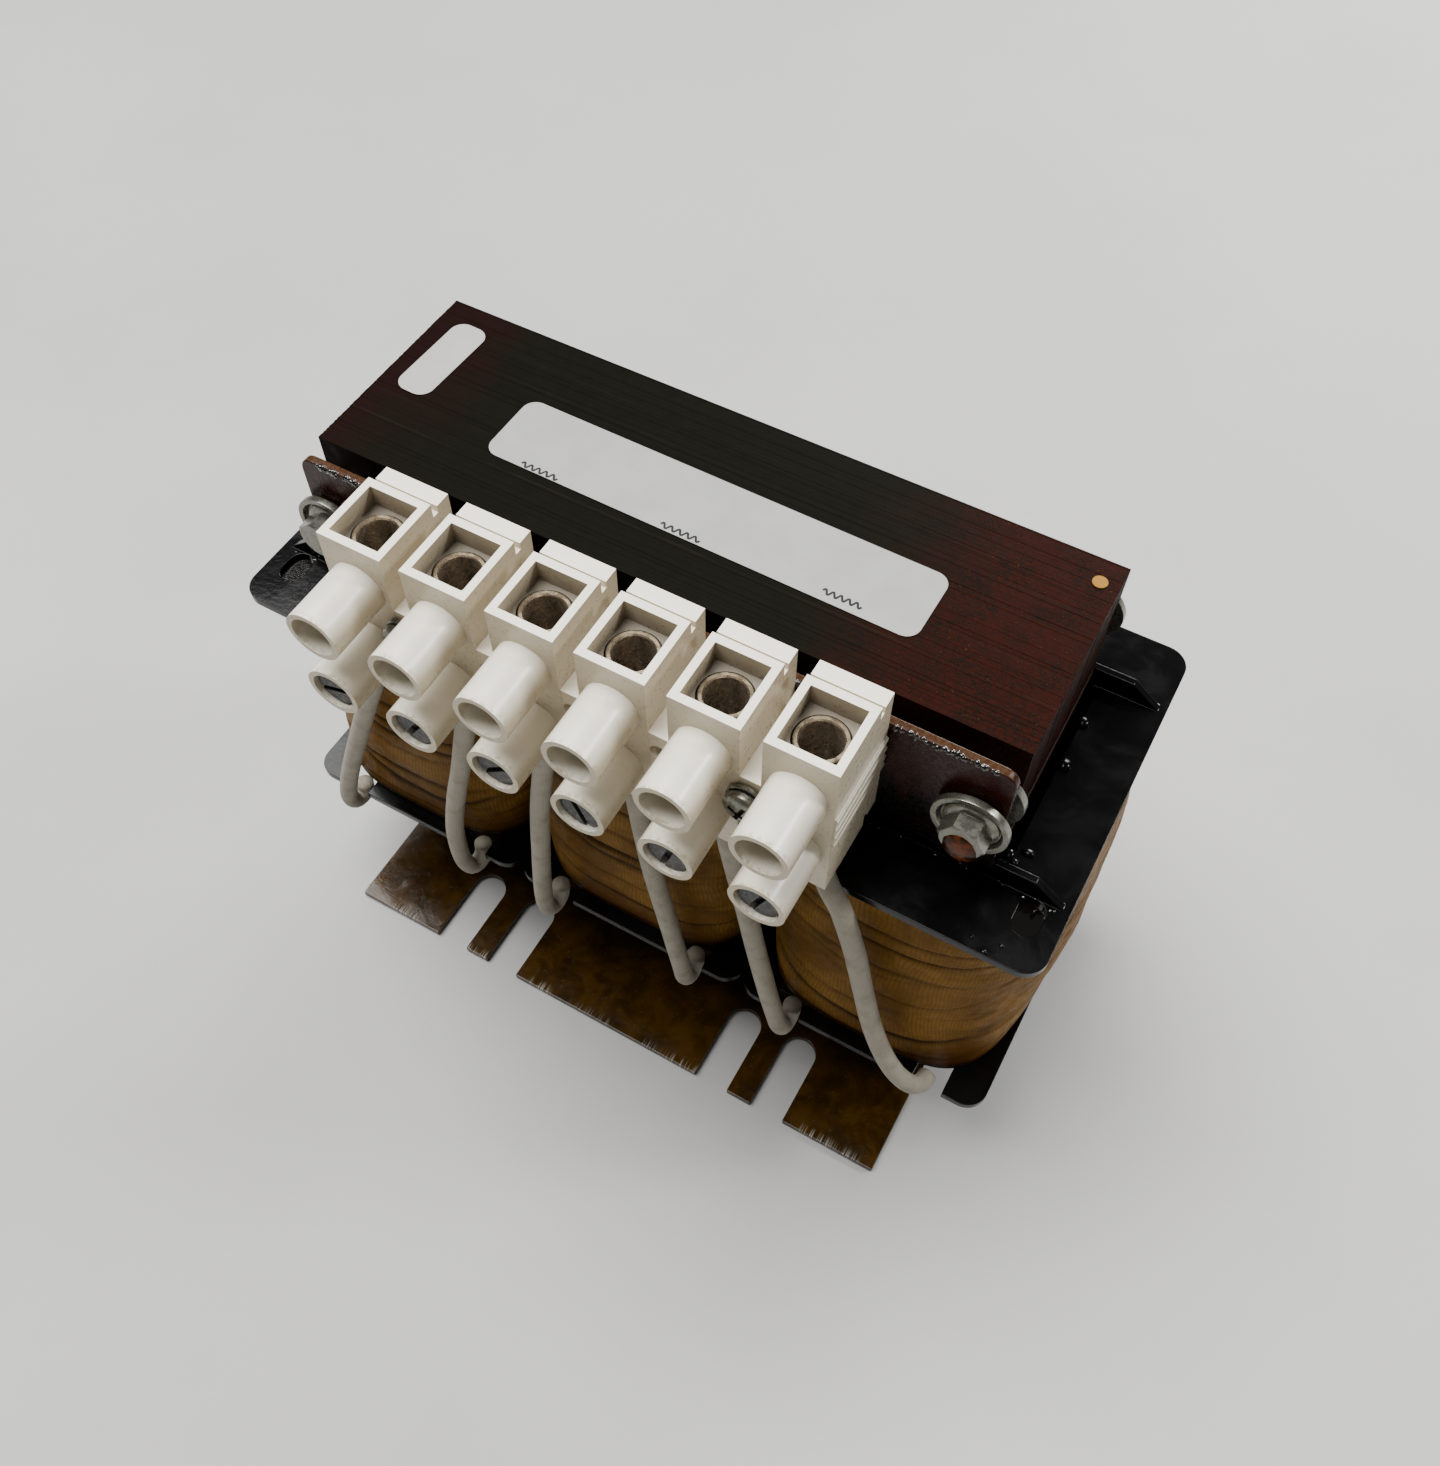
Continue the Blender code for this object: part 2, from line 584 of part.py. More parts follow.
def pole_block(x):
    """One pole's body: a tall box in front of a lower back wall, with a V groove between them."""
    half = POLE_HEIGHT / 2
    lower = half - POLE_BACK_STEP
    groove = BOX_BACK + POLE_NOTCH_WIDTH / 2
    shoulder = BOX_BACK + POLE_NOTCH_WIDTH
    upper_edge = [
        (STRIP_BACK, lower), (shoulder, lower), (groove, lower - POLE_NOTCH_DEPTH), (BOX_BACK, lower),
        (BOX_BACK, half), (STRIP_FRONT, half),
    ]
    outline = upper_edge + [(y, -z) for y, z in reversed(upper_edge)]
    return place(solid_from_outline([outline], POLE_WIDTH), (x, 0, STRIP_Z), (90, 0, 90))


def build_strip(materials):
    """The white moulding: six poles joined by webs, with a funnel above, one below and two towers each."""
    web_half = WEB_HEIGHT / 2
    left = pole_x(0)
    right = pole_x(POLE_COUNT - 1) + POLE_WIDTH / 2 + STUB_LENGTH
    strip = box(
        (left, STRIP_FRONT + SEAT_GAP / 3, STRIP_Z - web_half),
        (right, STRIP_BACK - SEAT_GAP / 3, STRIP_Z + web_half),
    )
    tower_levels = [STRIP_Z + TOWER_SPACING / 2, STRIP_Z - TOWER_SPACING / 2]
    for number in range(POLE_COUNT):
        x = pole_x(number)
        join(strip, pole_block(x))
        for z in tower_levels:
            root = (x, STRIP_FRONT + JOIN_OVERLAP, z)
            join(strip, rod(TOWER_DIAMETER, root, (x, TOWER_MOUTH, z), BORE_SIDES))
    for number in range(POLE_COUNT):
        x = pole_x(number)
        half = POLE_HEIGHT / 2
        for side in (-1, 1):
            floor = STRIP_Z + side * (half - FUNNEL_DEPTH)
            rim = STRIP_Z + side * (half + CUT_MARGIN)
            cut(strip, box(
                (x - FUNNEL_WIDTH / 2, STRIP_FRONT + FUNNEL_WALL, min(floor, rim)),
                (x + FUNNEL_WIDTH / 2, BOX_BACK - FUNNEL_WALL, max(floor, rim)),
            ))
        cut(strip, rod(
            CLAMP_POCKET, (x, POLE_CENTRE_Y, STRIP_Z - half), (x, POLE_CENTRE_Y, STRIP_Z + half), BORE_SIDES
        ))
        for z in tower_levels:
            cut(strip, rod(TOWER_BORE, (x, TOWER_MOUTH - CUT_MARGIN, z), (x, POLE_CENTRE_Y, z), BORE_SIDES))
    for number in range(POLE_COUNT - 1):
        x = web_x(number)
        cut(strip, rod(
            WEB_HOLE, (x, STRIP_FRONT - CUT_MARGIN, STRIP_Z), (x, STRIP_BACK + CUT_MARGIN, STRIP_Z),
            BOLT_SIDES,
        ))
    piece("terminal_housing", strip, materials["white_moulding"])


def screw_blank(length):
    """A slotted screw along Z with its head's top at z = 0 and its tip below."""
    head = SCREW_HEAD / 2
    shank = SCREW_SHANK / 2
    profile = [
        (0.0, 0.0), (head - SCREW_HEAD_EDGE, 0.0), (head, -SCREW_HEAD_EDGE),
        (head, -SCREW_HEAD_DEPTH), (shank, -SCREW_HEAD_DEPTH), (shank, -length), (0.0, -length),
    ]
    screw = turned(profile, BOLT_SIDES)
    reach = head + CUT_MARGIN
    half = SCREW_SLOT_WIDTH / 2
    return cut(screw, box((-reach, -half, -SCREW_SLOT_DEPTH), (reach, half, CUT_MARGIN)))


def build_clamps(materials):
    """A plated tube in each pole, with a screw from each tower."""
    half = CLAMP_HALF
    radii = (CLAMP_OUTER / 2, CLAMP_BORE / 2)
    edge = CLAMP_EDGE
    profile = [
        (radii[1], half - edge), (radii[1] + edge, half), (radii[0], half), (radii[0], -half),
        (radii[1] + edge, -half), (radii[1], edge - half), (radii[1], half - edge),
    ]
    clamp = turned(profile, BORE_SIDES)
    for z in (TOWER_SPACING / 2, -TOWER_SPACING / 2):
        cut(clamp, rod(SCREW_HOLE, (0, -CLAMP_OUTER, z), (0, 0, z), BOLT_SIDES))

    lead_front = POLE_CENTRE_Y - LEAD_DIAMETER / 2
    lower_head = TOWER_MOUTH + LOWER_SCREW_RECESS
    upper_length = SCREW_HEAD_DEPTH + (CLAMP_FRONT_INNER - STRIP_FRONT) + SCREW_SLOT_DEPTH
    lower_length = lead_front - SEAT_GAP - lower_head
    upper = place(screw_blank(upper_length), rotation=(90, 0, 0))
    lower = place(screw_blank(lower_length), rotation=(90, 0, 0))
    for number in range(POLE_COUNT):
        x = pole_x(number)
        label = number + 1
        middle = (x, POLE_CENTRE_Y, STRIP_Z)
        clamp = piece(f"terminal_clamp_{label}", clamp, materials["nickel"], middle)
        high = (x, CLAMP_FRONT_INNER - upper_length, STRIP_Z + TOWER_SPACING / 2)
        upper = piece(f"upper_clamp_screw_{label}", upper, materials["nickel"], high)
        low = (x, lower_head, STRIP_Z - TOWER_SPACING / 2)
        lower = piece(f"lower_clamp_screw_{label}", lower, materials["nickel"], low)


def build_strip_screws(materials):
    """Two pan-head screws with split washers, through webs of the strip into the bracket."""
    washer_front = STRIP_FRONT - SEAT_GAP - LOCK_WASHER_THICKNESS
    head_seat = washer_front - SEAT_GAP
    tip = PLATE_BACK + STRIP_SCREW_REACH
    head = STRIP_SCREW_HEAD / 2
    shank = STRIP_SCREW_SHANK / 2
    rim = STRIP_SCREW_RIM
    dome = [(0.0, STRIP_SCREW_DOME)]
    dome += [(head * math.sin(math.radians(a)), rim + (STRIP_SCREW_DOME - rim) * math.cos(math.radians(a)))
             for a in (30, 60, 90)]
    profile = dome + [(head, 0.0), (shank, 0.0), (shank, head_seat - tip), (0.0, head_seat - tip)]
    screw = turned(profile, BOLT_SIDES)
    arm = CROSS_LENGTH / 2
    half = CROSS_WIDTH / 2
    floor = STRIP_SCREW_DOME - CROSS_DEPTH
    ceiling = STRIP_SCREW_DOME + CUT_MARGIN
    cut(screw, box((-arm, -half, floor), (arm, half, ceiling)))
    cut(screw, box((-half, -arm, floor), (half, arm, ceiling)))
    place(screw, rotation=(90, 0, 0))

    inner = shank + SEAT_GAP
    outer = LOCK_WASHER_OUTER / 2
    thick = LOCK_WASHER_THICKNESS
    profile = [(inner, thick), (outer, thick), (outer, 0.0), (inner, 0.0), (inner, thick)]
    washer = turned(profile, BORE_SIDES)
    gap = LOCK_WASHER_SPLIT / 2
    cut(washer, box((-gap, 0, -CUT_MARGIN), (gap, outer + CUT_MARGIN, thick + CUT_MARGIN)))
    place(washer, rotation=(90, 0, 0))
    for name, web in zip(SIDES, SCREWED_WEBS):
        x = web_x(web)
        screw = piece(f"strip_screw_{name}", screw, materials["zinc"], (x, head_seat, STRIP_Z))
        seat = (x, STRIP_FRONT - SEAT_GAP, STRIP_Z)
        washer = piece(f"strip_washer_{name}", washer, materials["zinc"], seat)


def build_terminal_bracket(materials):
    """A flat plate as long as the core, with holes for the yoke bolts and the strip's screws."""
    height = YOKE_HEIGHT
    outline = [(-CORE_LENGTH / 2, -height / 2), (CORE_LENGTH / 2, -height / 2)]
    corner_x = CORE_LENGTH / 2 - PLATE_CORNER
    corner_z = height / 2 - PLATE_CORNER
    outline += arc((corner_x, corner_z), PLATE_CORNER, 0, 90)
    outline += arc((-corner_x, corner_z), PLATE_CORNER, 90, 180)
    middle_y = (PLATE_FRONT + PLATE_BACK) / 2
    plate = solid_from_outline([outline], PLATE_THICKNESS)
    place(plate, (0, middle_y, CORE_TOP - height / 2), (90, 0, 0))
    front = PLATE_FRONT - CUT_MARGIN
    back = PLATE_BACK + CUT_MARGIN
    for side in (-1, 1):
        x = side * BOLT_X
        cut(plate, rod(BOLT_HOLE, (x, front, UPPER_BOLT_Z), (x, back, UPPER_BOLT_Z), BOLT_SIDES))
    for web in SCREWED_WEBS:
        x = web_x(web)
        hole = STRIP_SCREW_SHANK + 2 * SEAT_GAP
        cut(plate, rod(hole, (x, front, STRIP_Z), (x, back, STRIP_Z), BOLT_SIDES))
    piece("terminal_bracket", plate, materials["bracket"])


def foot_section():
    """The bent strip seen from its end: a wall beside the stack and a foot that turns outwards."""
    wall_back = STACK_FRONT - SEAT_GAP
    wall_front = wall_back - FOOT_THICKNESS
    bend = FOOT_BEND
    outline = [(wall_back, FOOT_WALL_TOP), (wall_front, FOOT_WALL_TOP)]
    outline += arc((wall_front - bend, FOOT_THICKNESS + bend), bend, 0, -90)
    outline += [(-FOOT_REACH, FOOT_THICKNESS), (-FOOT_REACH, 0.0)]
    outline += arc((wall_front - bend, FOOT_THICKNESS + bend), bend + FOOT_THICKNESS, -90, 0)
    return outline


def build_feet(materials):
    """Two equal foot brackets, the rear one turned round, each with four slots open at its edge."""
    foot = place(solid_from_outline([foot_section()], FOOT_LENGTH), rotation=(90, 0, 90))
    slot_end = -FOOT_REACH + SLOT_LENGTH - SLOT_WIDTH / 2
    for centre in SLOT_CENTRES:
        for x in (-centre, centre):
            outline = arc((x, slot_end), SLOT_WIDTH / 2, 0, 180, 8)
            mouth = -FOOT_REACH - CUT_MARGIN
            outline += [(x - SLOT_WIDTH / 2, mouth), (x + SLOT_WIDTH / 2, mouth)]
            cut(foot, place(solid_from_outline([outline], 4 * FOOT_THICKNESS), (0, 0, FOOT_THICKNESS / 2)))
    for side in (-1, 1):
        x = side * BOLT_X
        back = STACK_FRONT + CUT_MARGIN
        front = STACK_FRONT - FOOT_THICKNESS - 2 * CUT_MARGIN
        cut(foot, rod(BOLT_HOLE, (x, front, LOWER_BOLT_Z), (x, back, LOWER_BOLT_Z), BOLT_SIDES))
    front_foot = piece("foot_bracket_front", foot, materials["foot"])
    rear_foot = piece("foot_bracket_rear", front_foot, materials["foot"])
    rear_foot.rotation_euler = (0, 0, math.pi)


def bolt_blank(length):
    """A flanged hex bolt along Z, its seat at z = 0 and its shank below."""
    flange_radius = BOLT_FLANGE / 2
    shank = BOLT_DIAMETER / 2
    edge = BOLT_EDGE
    profile = [
        (0.0, BOLT_FLANGE_THICKNESS), (flange_radius - edge, BOLT_FLANGE_THICKNESS),
        (flange_radius, edge / 2), (flange_radius, 0.0), (shank, 0.0), (shank, -length + edge),
        (shank - edge, -length), (0.0, -length),
    ]
    bolt = turned(profile, BOLT_SIDES)
    return join(bolt, hexagon(BOLT_FLANGE_THICKNESS / 2, BOLT_HEX_HEIGHT))


def hexagon(low, high):
    """A hexagonal prism along Z whose upper corners are turned off."""
    across_corners = BOLT_HEX / math.cos(math.radians(30))
    prism = rod(across_corners, (0, 0, low), (0, 0, high), 6)
    chamfer = HEX_CHAMFER
    radius = BOLT_HEX / 2
    skirt = across_corners / 2 + chamfer
    profile = [
        (0.0, high + CUT_MARGIN / 10), (radius, high + CUT_MARGIN / 10), (skirt, high - chamfer),
        (skirt, low - CUT_MARGIN), (0.0, low - CUT_MARGIN),
    ]
    return combine(prism, [turned(profile, BOLT_SIDES)], "INTERSECT")


def dished_washer_blank(inner):
    """A washer along Z from z = 0, whose outer part is pressed up round the bolt's flange."""
    outer = WASHER_OUTER / 2
    seat = BOLT_FLANGE / 2 + SEAT_GAP
    rim = seat + WASHER_DISH / 2
    top = WASHER_THICKNESS + WASHER_DISH
    profile = [
        (inner, WASHER_THICKNESS), (seat, WASHER_THICKNESS), (rim, top), (outer, top), (outer, WASHER_DISH),
        (rim, WASHER_DISH), (seat, 0.0), (inner, 0.0), (inner, WASHER_THICKNESS),
    ]
    return turned(profile, WASHER_SIDES)


def spacer_blank(inner, length):
    """A collar along Z from z = 0 with a broad flange at its foot."""
    collar = SPACER_COLLAR / 2
    outer = WASHER_OUTER / 2
    profile = [
        (inner, length), (collar, length), (collar, SPACER_FLANGE), (outer, SPACER_FLANGE), (outer, 0.0),
        (inner, 0.0), (inner, length),
    ]
    return turned(profile, WASHER_SIDES)


def ring_blank(inner, outer, thickness):
    """A plain ring along Z from z = 0."""
    profile = [(inner, thickness), (outer, thickness), (outer, 0.0), (inner, 0.0), (inner, thickness)]
    return turned(profile, WASHER_SIDES)


def nut_blank():
    """A hexagon nut along Z from z = 0."""
    nut = hexagon(0.0, NUT_HEIGHT)
    return cut(nut, rod(BOLT_HOLE, (0, 0, -CUT_MARGIN), (0, 0, NUT_HEIGHT + CUT_MARGIN), BOLT_SIDES))


def build_bolts(materials):
    """Four bolts clamp the yokes: the upper ones hold the terminal bracket, the lower ones the feet."""
    zinc = materials["zinc"]
    inner = BOLT_HOLE / 2
    upper_seat = PLATE_FRONT - SEAT_GAP - WASHER_THICKNESS - SEAT_GAP
    rear_nut = STACK_BACK + SEAT_GAP + WASHER_THICKNESS + SEAT_GAP
    upper_length = rear_nut + NUT_HEIGHT + BOLT_TAIL - upper_seat
    lower_seat = STACK_FRONT - SEAT_GAP - FOOT_THICKNESS - SEAT_GAP
    lower_nut = STACK_BACK + SEAT_GAP + FOOT_THICKNESS + SEAT_GAP
    lower_length = lower_nut + NUT_HEIGHT + BOLT_TAIL - lower_seat

    towards_front = (90, 0, 0)
    towards_back = (-90, 0, 0)
    upper = place(bolt_blank(upper_length), rotation=towards_front)
    lower = place(bolt_blank(lower_length), rotation=towards_front)
    nut = place(nut_blank(), rotation=towards_back)
    front_washer = place(dished_washer_blank(inner), rotation=towards_front)
    rear_washer = place(ring_blank(inner, WASHER_OUTER / 2, WASHER_THICKNESS), rotation=towards_back)
    spacer = place(spacer_blank(inner, PLATE_STANDOFF - 2 * SEAT_GAP), rotation=towards_front)
    for name, side in zip(SIDES, (-1, 1)):
        x = side * BOLT_X
        upper = piece(f"yoke_bolt_{name}", upper, zinc, (x, upper_seat, UPPER_BOLT_Z))
        lower = piece(f"foot_bolt_{name}", lower, zinc, (x, lower_seat, LOWER_BOLT_Z))
        nut = piece(f"yoke_nut_{name}", nut, zinc, (x, rear_nut, UPPER_BOLT_Z))
        nut = piece(f"foot_nut_{name}", nut, zinc, (x, lower_nut, LOWER_BOLT_Z))
        seat = (x, PLATE_FRONT - SEAT_GAP, UPPER_BOLT_Z)
        front_washer = piece(f"yoke_washer_front_{name}", front_washer, zinc, seat)
        seat = (x, STACK_BACK + SEAT_GAP, UPPER_BOLT_Z)
        rear_washer = piece(f"yoke_washer_rear_{name}", rear_washer, zinc, seat)
        seat = (x, STACK_FRONT - SEAT_GAP, UPPER_BOLT_Z)
        spacer = piece(f"bracket_spacer_{name}", spacer, zinc, seat)


def smooth_route(points, count):
    """Evenly counted points on a smooth curve through a route's own points."""
    padded = [2 * points[0] - points[1], *points, 2 * points[-1] - points[-2]]
    steps = 12
    fine = []
    for before, start, end, after in zip(padded, padded[1:], padded[2:], padded[3:]):
        for i in range(steps):
            t = i / steps
            fine.append(0.5 * (
                2 * start + (end - before) * t + (2 * before - 5 * start + 4 * end - after) * t ** 2
                + (3 * start - before - 3 * end + after) * t ** 3
            ))
    fine.append(points[-1])
    lengths = [0.0]
    for a, b in zip(fine, fine[1:]):
        lengths.append(lengths[-1] + (b - a).length)
    chosen = []
    index = 0
    for i in range(count):
        target = lengths[-1] * i / (count - 1)
        while index < len(fine) - 2 and lengths[index + 1] < target:
            index += 1
        span = lengths[index + 1] - lengths[index]
        chosen.append(fine[index].lerp(fine[index + 1], (target - lengths[index]) / span))
    return chosen


def notch_x(label):
    """The middle of a lead's notch: the leads go in pairs to the bobbins' left and right notches."""
    leg, side = divmod(label - 1, 2)
    return (leg - 1) * BOBBIN_PITCH + (2 * side - 1) * (FLANGE_WIDTH / 2 - NOTCH_INSET)


def build_leads(materials):
    """A sleeved lead from each clamp, in front of the coils, to its notch in a bottom flange."""
    strip_bottom = STRIP_Z - POLE_HEIGHT / 2
    fall = strip_bottom - BOBBIN_BOTTOM
    for label, route in LEAD_ROUTES.items():
        x = pole_x(label - 1)
        way = notch_x(label) - x
        corners = [
            Vector((x, POLE_CENTRE_Y, STRIP_Z - LEAD_TOP)),
            Vector((x, POLE_CENTRE_Y, STRIP_Z - POLE_HEIGHT / 3)),
        ]
        for across, behind, down in route:
            y = FLANGE_FRONT + behind * MM
            corners.append(Vector((x + across * way, y, strip_bottom - down * fall)))
        points = smooth_route(corners, ROUTE_POINT_COUNT)
        curve = bpy.data.curves.new("route", "CURVE")
        curve.dimensions = "3D"
        curve.bevel_depth = LEAD_DIAMETER / 2
        curve.bevel_resolution = 2
        curve.use_fill_caps = True
        spline = curve.splines.new("POLY")
        spline.points.add(len(points) - 1)
        for target, point in zip(spline.points, points):
            target.co = (*point, 1.0)
        tube = helper("route", curve)
        lead = helper("lead", mesh_from(tube))
        bpy.data.objects.remove(tube, do_unlink=True)
        piece(f"lead_{label}", lead, materials["sleeving"])


def main():
    """Builds the reactor from the core outwards."""
    reset_scene()
    materials = make_materials()
    build_core(materials)
    build_bobbins(materials)
    build_coils(materials)
    build_strip(materials)
    build_clamps(materials)
    build_strip_screws(materials)
    build_terminal_bracket(materials)
    build_feet(materials)
    build_bolts(materials)
    build_leads(materials)


main()
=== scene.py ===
"""Dresses the three-phase line reactor and sets it in a plain studio.

Each sub-assembly is a class. Its sizes are its fields, and its methods build the meshes that stand
for the plain solids. Lengths are in metres, and route points and texture scales are in millimetres.
"""

import logging
import math
import random
from collections.abc import Callable, Iterable, Sequence
from dataclasses import dataclass, field
from enum import Enum

import bmesh
import bpy
from mathutils import Euler, Matrix, Vector, noise


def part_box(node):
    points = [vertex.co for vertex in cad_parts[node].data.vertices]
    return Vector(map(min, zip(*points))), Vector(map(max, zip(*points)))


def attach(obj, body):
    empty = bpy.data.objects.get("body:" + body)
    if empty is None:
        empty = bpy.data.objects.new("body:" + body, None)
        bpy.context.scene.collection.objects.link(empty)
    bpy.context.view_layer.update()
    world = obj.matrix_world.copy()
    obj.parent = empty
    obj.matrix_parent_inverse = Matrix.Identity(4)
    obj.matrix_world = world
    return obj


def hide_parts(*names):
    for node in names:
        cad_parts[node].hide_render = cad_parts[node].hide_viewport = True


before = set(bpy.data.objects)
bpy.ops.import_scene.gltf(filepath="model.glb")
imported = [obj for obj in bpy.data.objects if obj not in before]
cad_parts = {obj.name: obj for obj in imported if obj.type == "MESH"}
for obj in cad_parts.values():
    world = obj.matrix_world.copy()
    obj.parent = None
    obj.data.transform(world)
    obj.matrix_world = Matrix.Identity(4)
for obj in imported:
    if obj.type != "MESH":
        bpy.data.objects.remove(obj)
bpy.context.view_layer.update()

MM = 0.001
BODY = "root"
log = logging.getLogger("reactor")

Point = tuple[float, float, float]
Flat = tuple[float, float]
Colour = tuple[float, float, float]
Socket = bpy.types.NodeSocket


class Side(Enum):
    """The two ends of the reactor, seen from the terminals."""

    LEFT = -1
    RIGHT = 1


class Leg(Enum):
    """The three legs of the core, from left to right."""

    LEFT = -1
    CENTRE = 0
    RIGHT = 1


class Facing(Enum):
    """Which way the top of a turned piece points, as a rotation in degrees."""

    FRONT = (90.0, 0.0, 0.0)
    BACK = (-90.0, 0.0, 0.0)


def tone(red: int, green: int, blue: int) -> Colour:
    """Turns a colour of 0 to 255 as seen on a screen into a linear colour.

    Args:
        red: How red it is.
        green: How green it is.
        blue: How blue it is.

    Returns:
        The linear colour.
    """

    def linear(value: int) -> float:
        """One channel of the colour."""
        share = value / 255
        return share / 12.92 if share <= 0.04045 else ((share + 0.055) / 1.055) ** 2.4

    return (linear(red), linear(green), linear(blue))


def hash_share(*numbers: float) -> float:
    """A repeatable number from 0 to 1 for some numbers."""
    total = sum(number * factor for number, factor in zip(numbers, (12.9898, 78.233, 37.719, 4.581)))
    return (math.sin(total) * 43758.5453) % 1.0


class Graph:
    """Short calls for the shader nodes that the finishes are wired from."""

    def __init__(self, material: bpy.types.Material) -> None:
        """Takes over a material's node tree.

        Args:
            material: A new material with nodes.
        """
        self.tree = material.node_tree
        self.shader = self.tree.nodes["Principled BSDF"]

    def node(self, kind: str, **settings: object) -> bpy.types.Node:
        """Adds a node.

        Args:
            kind: The node's type without its prefix, such as TexNoise.
            **settings: Properties to set on it.

        Returns:
            The new node.
        """
        made = self.tree.nodes.new(f"ShaderNode{kind}")
        for name, value in settings.items():
            setattr(made, name, value)
        return made

    def feed(self, socket: Socket, value: object) -> None:
        """Links an input to an output, or sets its number or colour.

        Args:
            socket: The input.
            value: An output socket, a number, a vector or a colour.
        """
        if isinstance(value, Socket):
            self.tree.links.new(value, socket)
        elif isinstance(value, tuple) and len(value) == 3 and socket.type == "RGBA":
            socket.default_value = (*value, 1.0)
        else:
            socket.default_value = value

    def place(self, stretch: Point = (1.0, 1.0, 1.0)) -> Socket:
        """The point on the part, in millimetres, with each axis stretched by a factor.

        Args:
            stretch: The factor on each axis.

        Returns:
            The stretched point.
        """
        source = self.node("TexCoord").outputs["Object"]
        scaled = self.node("VectorMath", operation="MULTIPLY")
        self.feed(scaled.inputs[0], source)
        scaled.inputs[1].default_value = [factor / MM for factor in stretch]
        return scaled.outputs[0]

    def axes(self) -> tuple[Socket, ...]:
        """The x, y and z of the point on the part, in millimetres.

        Returns:
            The three numbers.
        """
        split = self.node("SeparateXYZ")
        self.feed(split.inputs[0], self.place())
        return tuple(split.outputs)

    def upward(self) -> Socket:
        """How far the surface faces up, from -1 to 1.

        Returns:
            The number.
        """
        split = self.node("SeparateXYZ")
        self.feed(split.inputs[0], self.node("NewGeometry").outputs["Normal"])
        return split.outputs[2]

    def attribute(self, name: str) -> Socket:
        """A value that the mesh carries."""
        return self.node("Attribute", attribute_name=name).outputs["Fac"]

    def noise(
        self, vector: Socket, scale: float, detail: float = 3.0, roughness: float = 0.55,
        distortion: float = 0.0,
    ) -> Socket:
        """Cloudy noise from 0 to 1.

        Args:
            vector: Where to look it up.
            scale: Clouds per unit of the vector.
            detail: How many finer layers it has.
            roughness: How strong the finer layers are.
            distortion: How much it swirls.

        Returns:
            The noise.
        """
        made = self.node("TexNoise")
        self.feed(made.inputs["Vector"], vector)
        made.inputs["Scale"].default_value = scale
        made.inputs["Detail"].default_value = detail
        made.inputs["Roughness"].default_value = roughness
        made.inputs["Distortion"].default_value = distortion
        return made.outputs["Fac"]

    def math(self, operation: str, first: object, second: object = 0.0) -> Socket:
        """A sum on one or two numbers.

        Args:
            operation: Blender's name for the sum.
            first: The first number.
            second: The second one.

        Returns:
            The result.
        """
        made = self.node("Math", operation=operation)
        self.feed(made.inputs[0], first)
        self.feed(made.inputs[1], second)
        return made.outputs[0]

    def between(
        self, value: Socket, low: float, high: float, start: float = 0.0, end: float = 1.0
    ) -> Socket:
        """Turns a range of values smoothly into another range.

        Args:
            value: The number to look at.
            low: Where the range starts.
            high: Where it ends.
            start: The result at its start and before.
            end: The result at its end and beyond.

        Returns:
            The new number.
        """
        made = self.node("MapRange", interpolation_type="SMOOTHSTEP")
        self.feed(made.inputs["Value"], value)
        for name, number in (("From Min", low), ("From Max", high), ("To Min", start), ("To Max", end)):
            made.inputs[name].default_value = number
        return made.outputs["Result"]

    def blend(self, share: object, first: object, second: object, how: str = "MIX") -> Socket:
        """Mixes two colours.

        Args:
            share: How much of the second colour there is.
            first: The first colour.
            second: The second one.
            how: Blender's name for the way to mix them.

        Returns:
            The mixed colour.
        """
        made = self.node("Mix", data_type="RGBA", blend_type=how)
        self.feed(made.inputs[0], share)
        self.feed(made.inputs[6], first)
        self.feed(made.inputs[7], second)
        return made.outputs[2]

    def relief(self, height: Socket, depth_mm: float, below: object = None) -> Socket:
        """Raises the surface by a height map.

        Args:
            height: The map, from 0 to 1.
            depth_mm: How high a 1 stands, in millimetres.
            below: Another relief that this one lies on.

        Returns:
            The normal.
        """
        made = self.node("Bump")
        made.inputs["Distance"].default_value = depth_mm * MM
        self.feed(made.inputs["Height"], height)
        if below is not None:
            self.feed(made.inputs["Normal"], below)
        return made.outputs["Normal"]

    def set(self, **values: object) -> None:
        """Sets or links the shader's own inputs, whose names are written with underscores."""
        for name, value in values.items():
            self.feed(self.shader.inputs[name.replace("_", " ")], value)


@dataclass(frozen=True)
class Finish:
    """How one kind of surface looks: a plain coloured finish that others add detail to."""

    name: str
    colour: Colour
    roughness: float = 0.5
    metallic: float = 0.0
    coat: float = 0.0
    coat_roughness: float = 0.1

    def material(self) -> bpy.types.Material:
        """Makes the material, or finds it if it was made before.

        Returns:
            The material.
        """
        known = bpy.data.materials.get(self.name)
        if known:
            return known
        made = bpy.data.materials.new(self.name)
        made.use_nodes = True
        made.diffuse_color = (*self.colour, 1.0)
        graph = Graph(made)
        graph.set(
            Base_Color=self.colour, Roughness=self.roughness, Metallic=self.metallic,
            Coat_Weight=self.coat, Coat_Roughness=self.coat_roughness,
        )
        self.wire(graph)
        return made

    def wire(self, graph: Graph) -> None:
        """Adds slight mottling and grain.

        Args:
            graph: The material's nodes.
        """
        cloud = graph.noise(graph.place(), 0.9, 4)
        graph.set(
            Base_Color=graph.blend(graph.between(cloud, 0.35, 0.7), self.colour, self.shade(0.8)),
            Roughness=graph.between(cloud, 0.3, 0.7, self.roughness * 0.85, self.roughness * 1.2),
            Normal=graph.relief(graph.noise(graph.place(), 3.0, 3), 0.02),
        )

    def shade(self, factor: float) -> Colour:
        """The finish's colour, lighter or darker by a factor."""
        return tuple(min(1.0, channel * factor) for channel in self.colour)


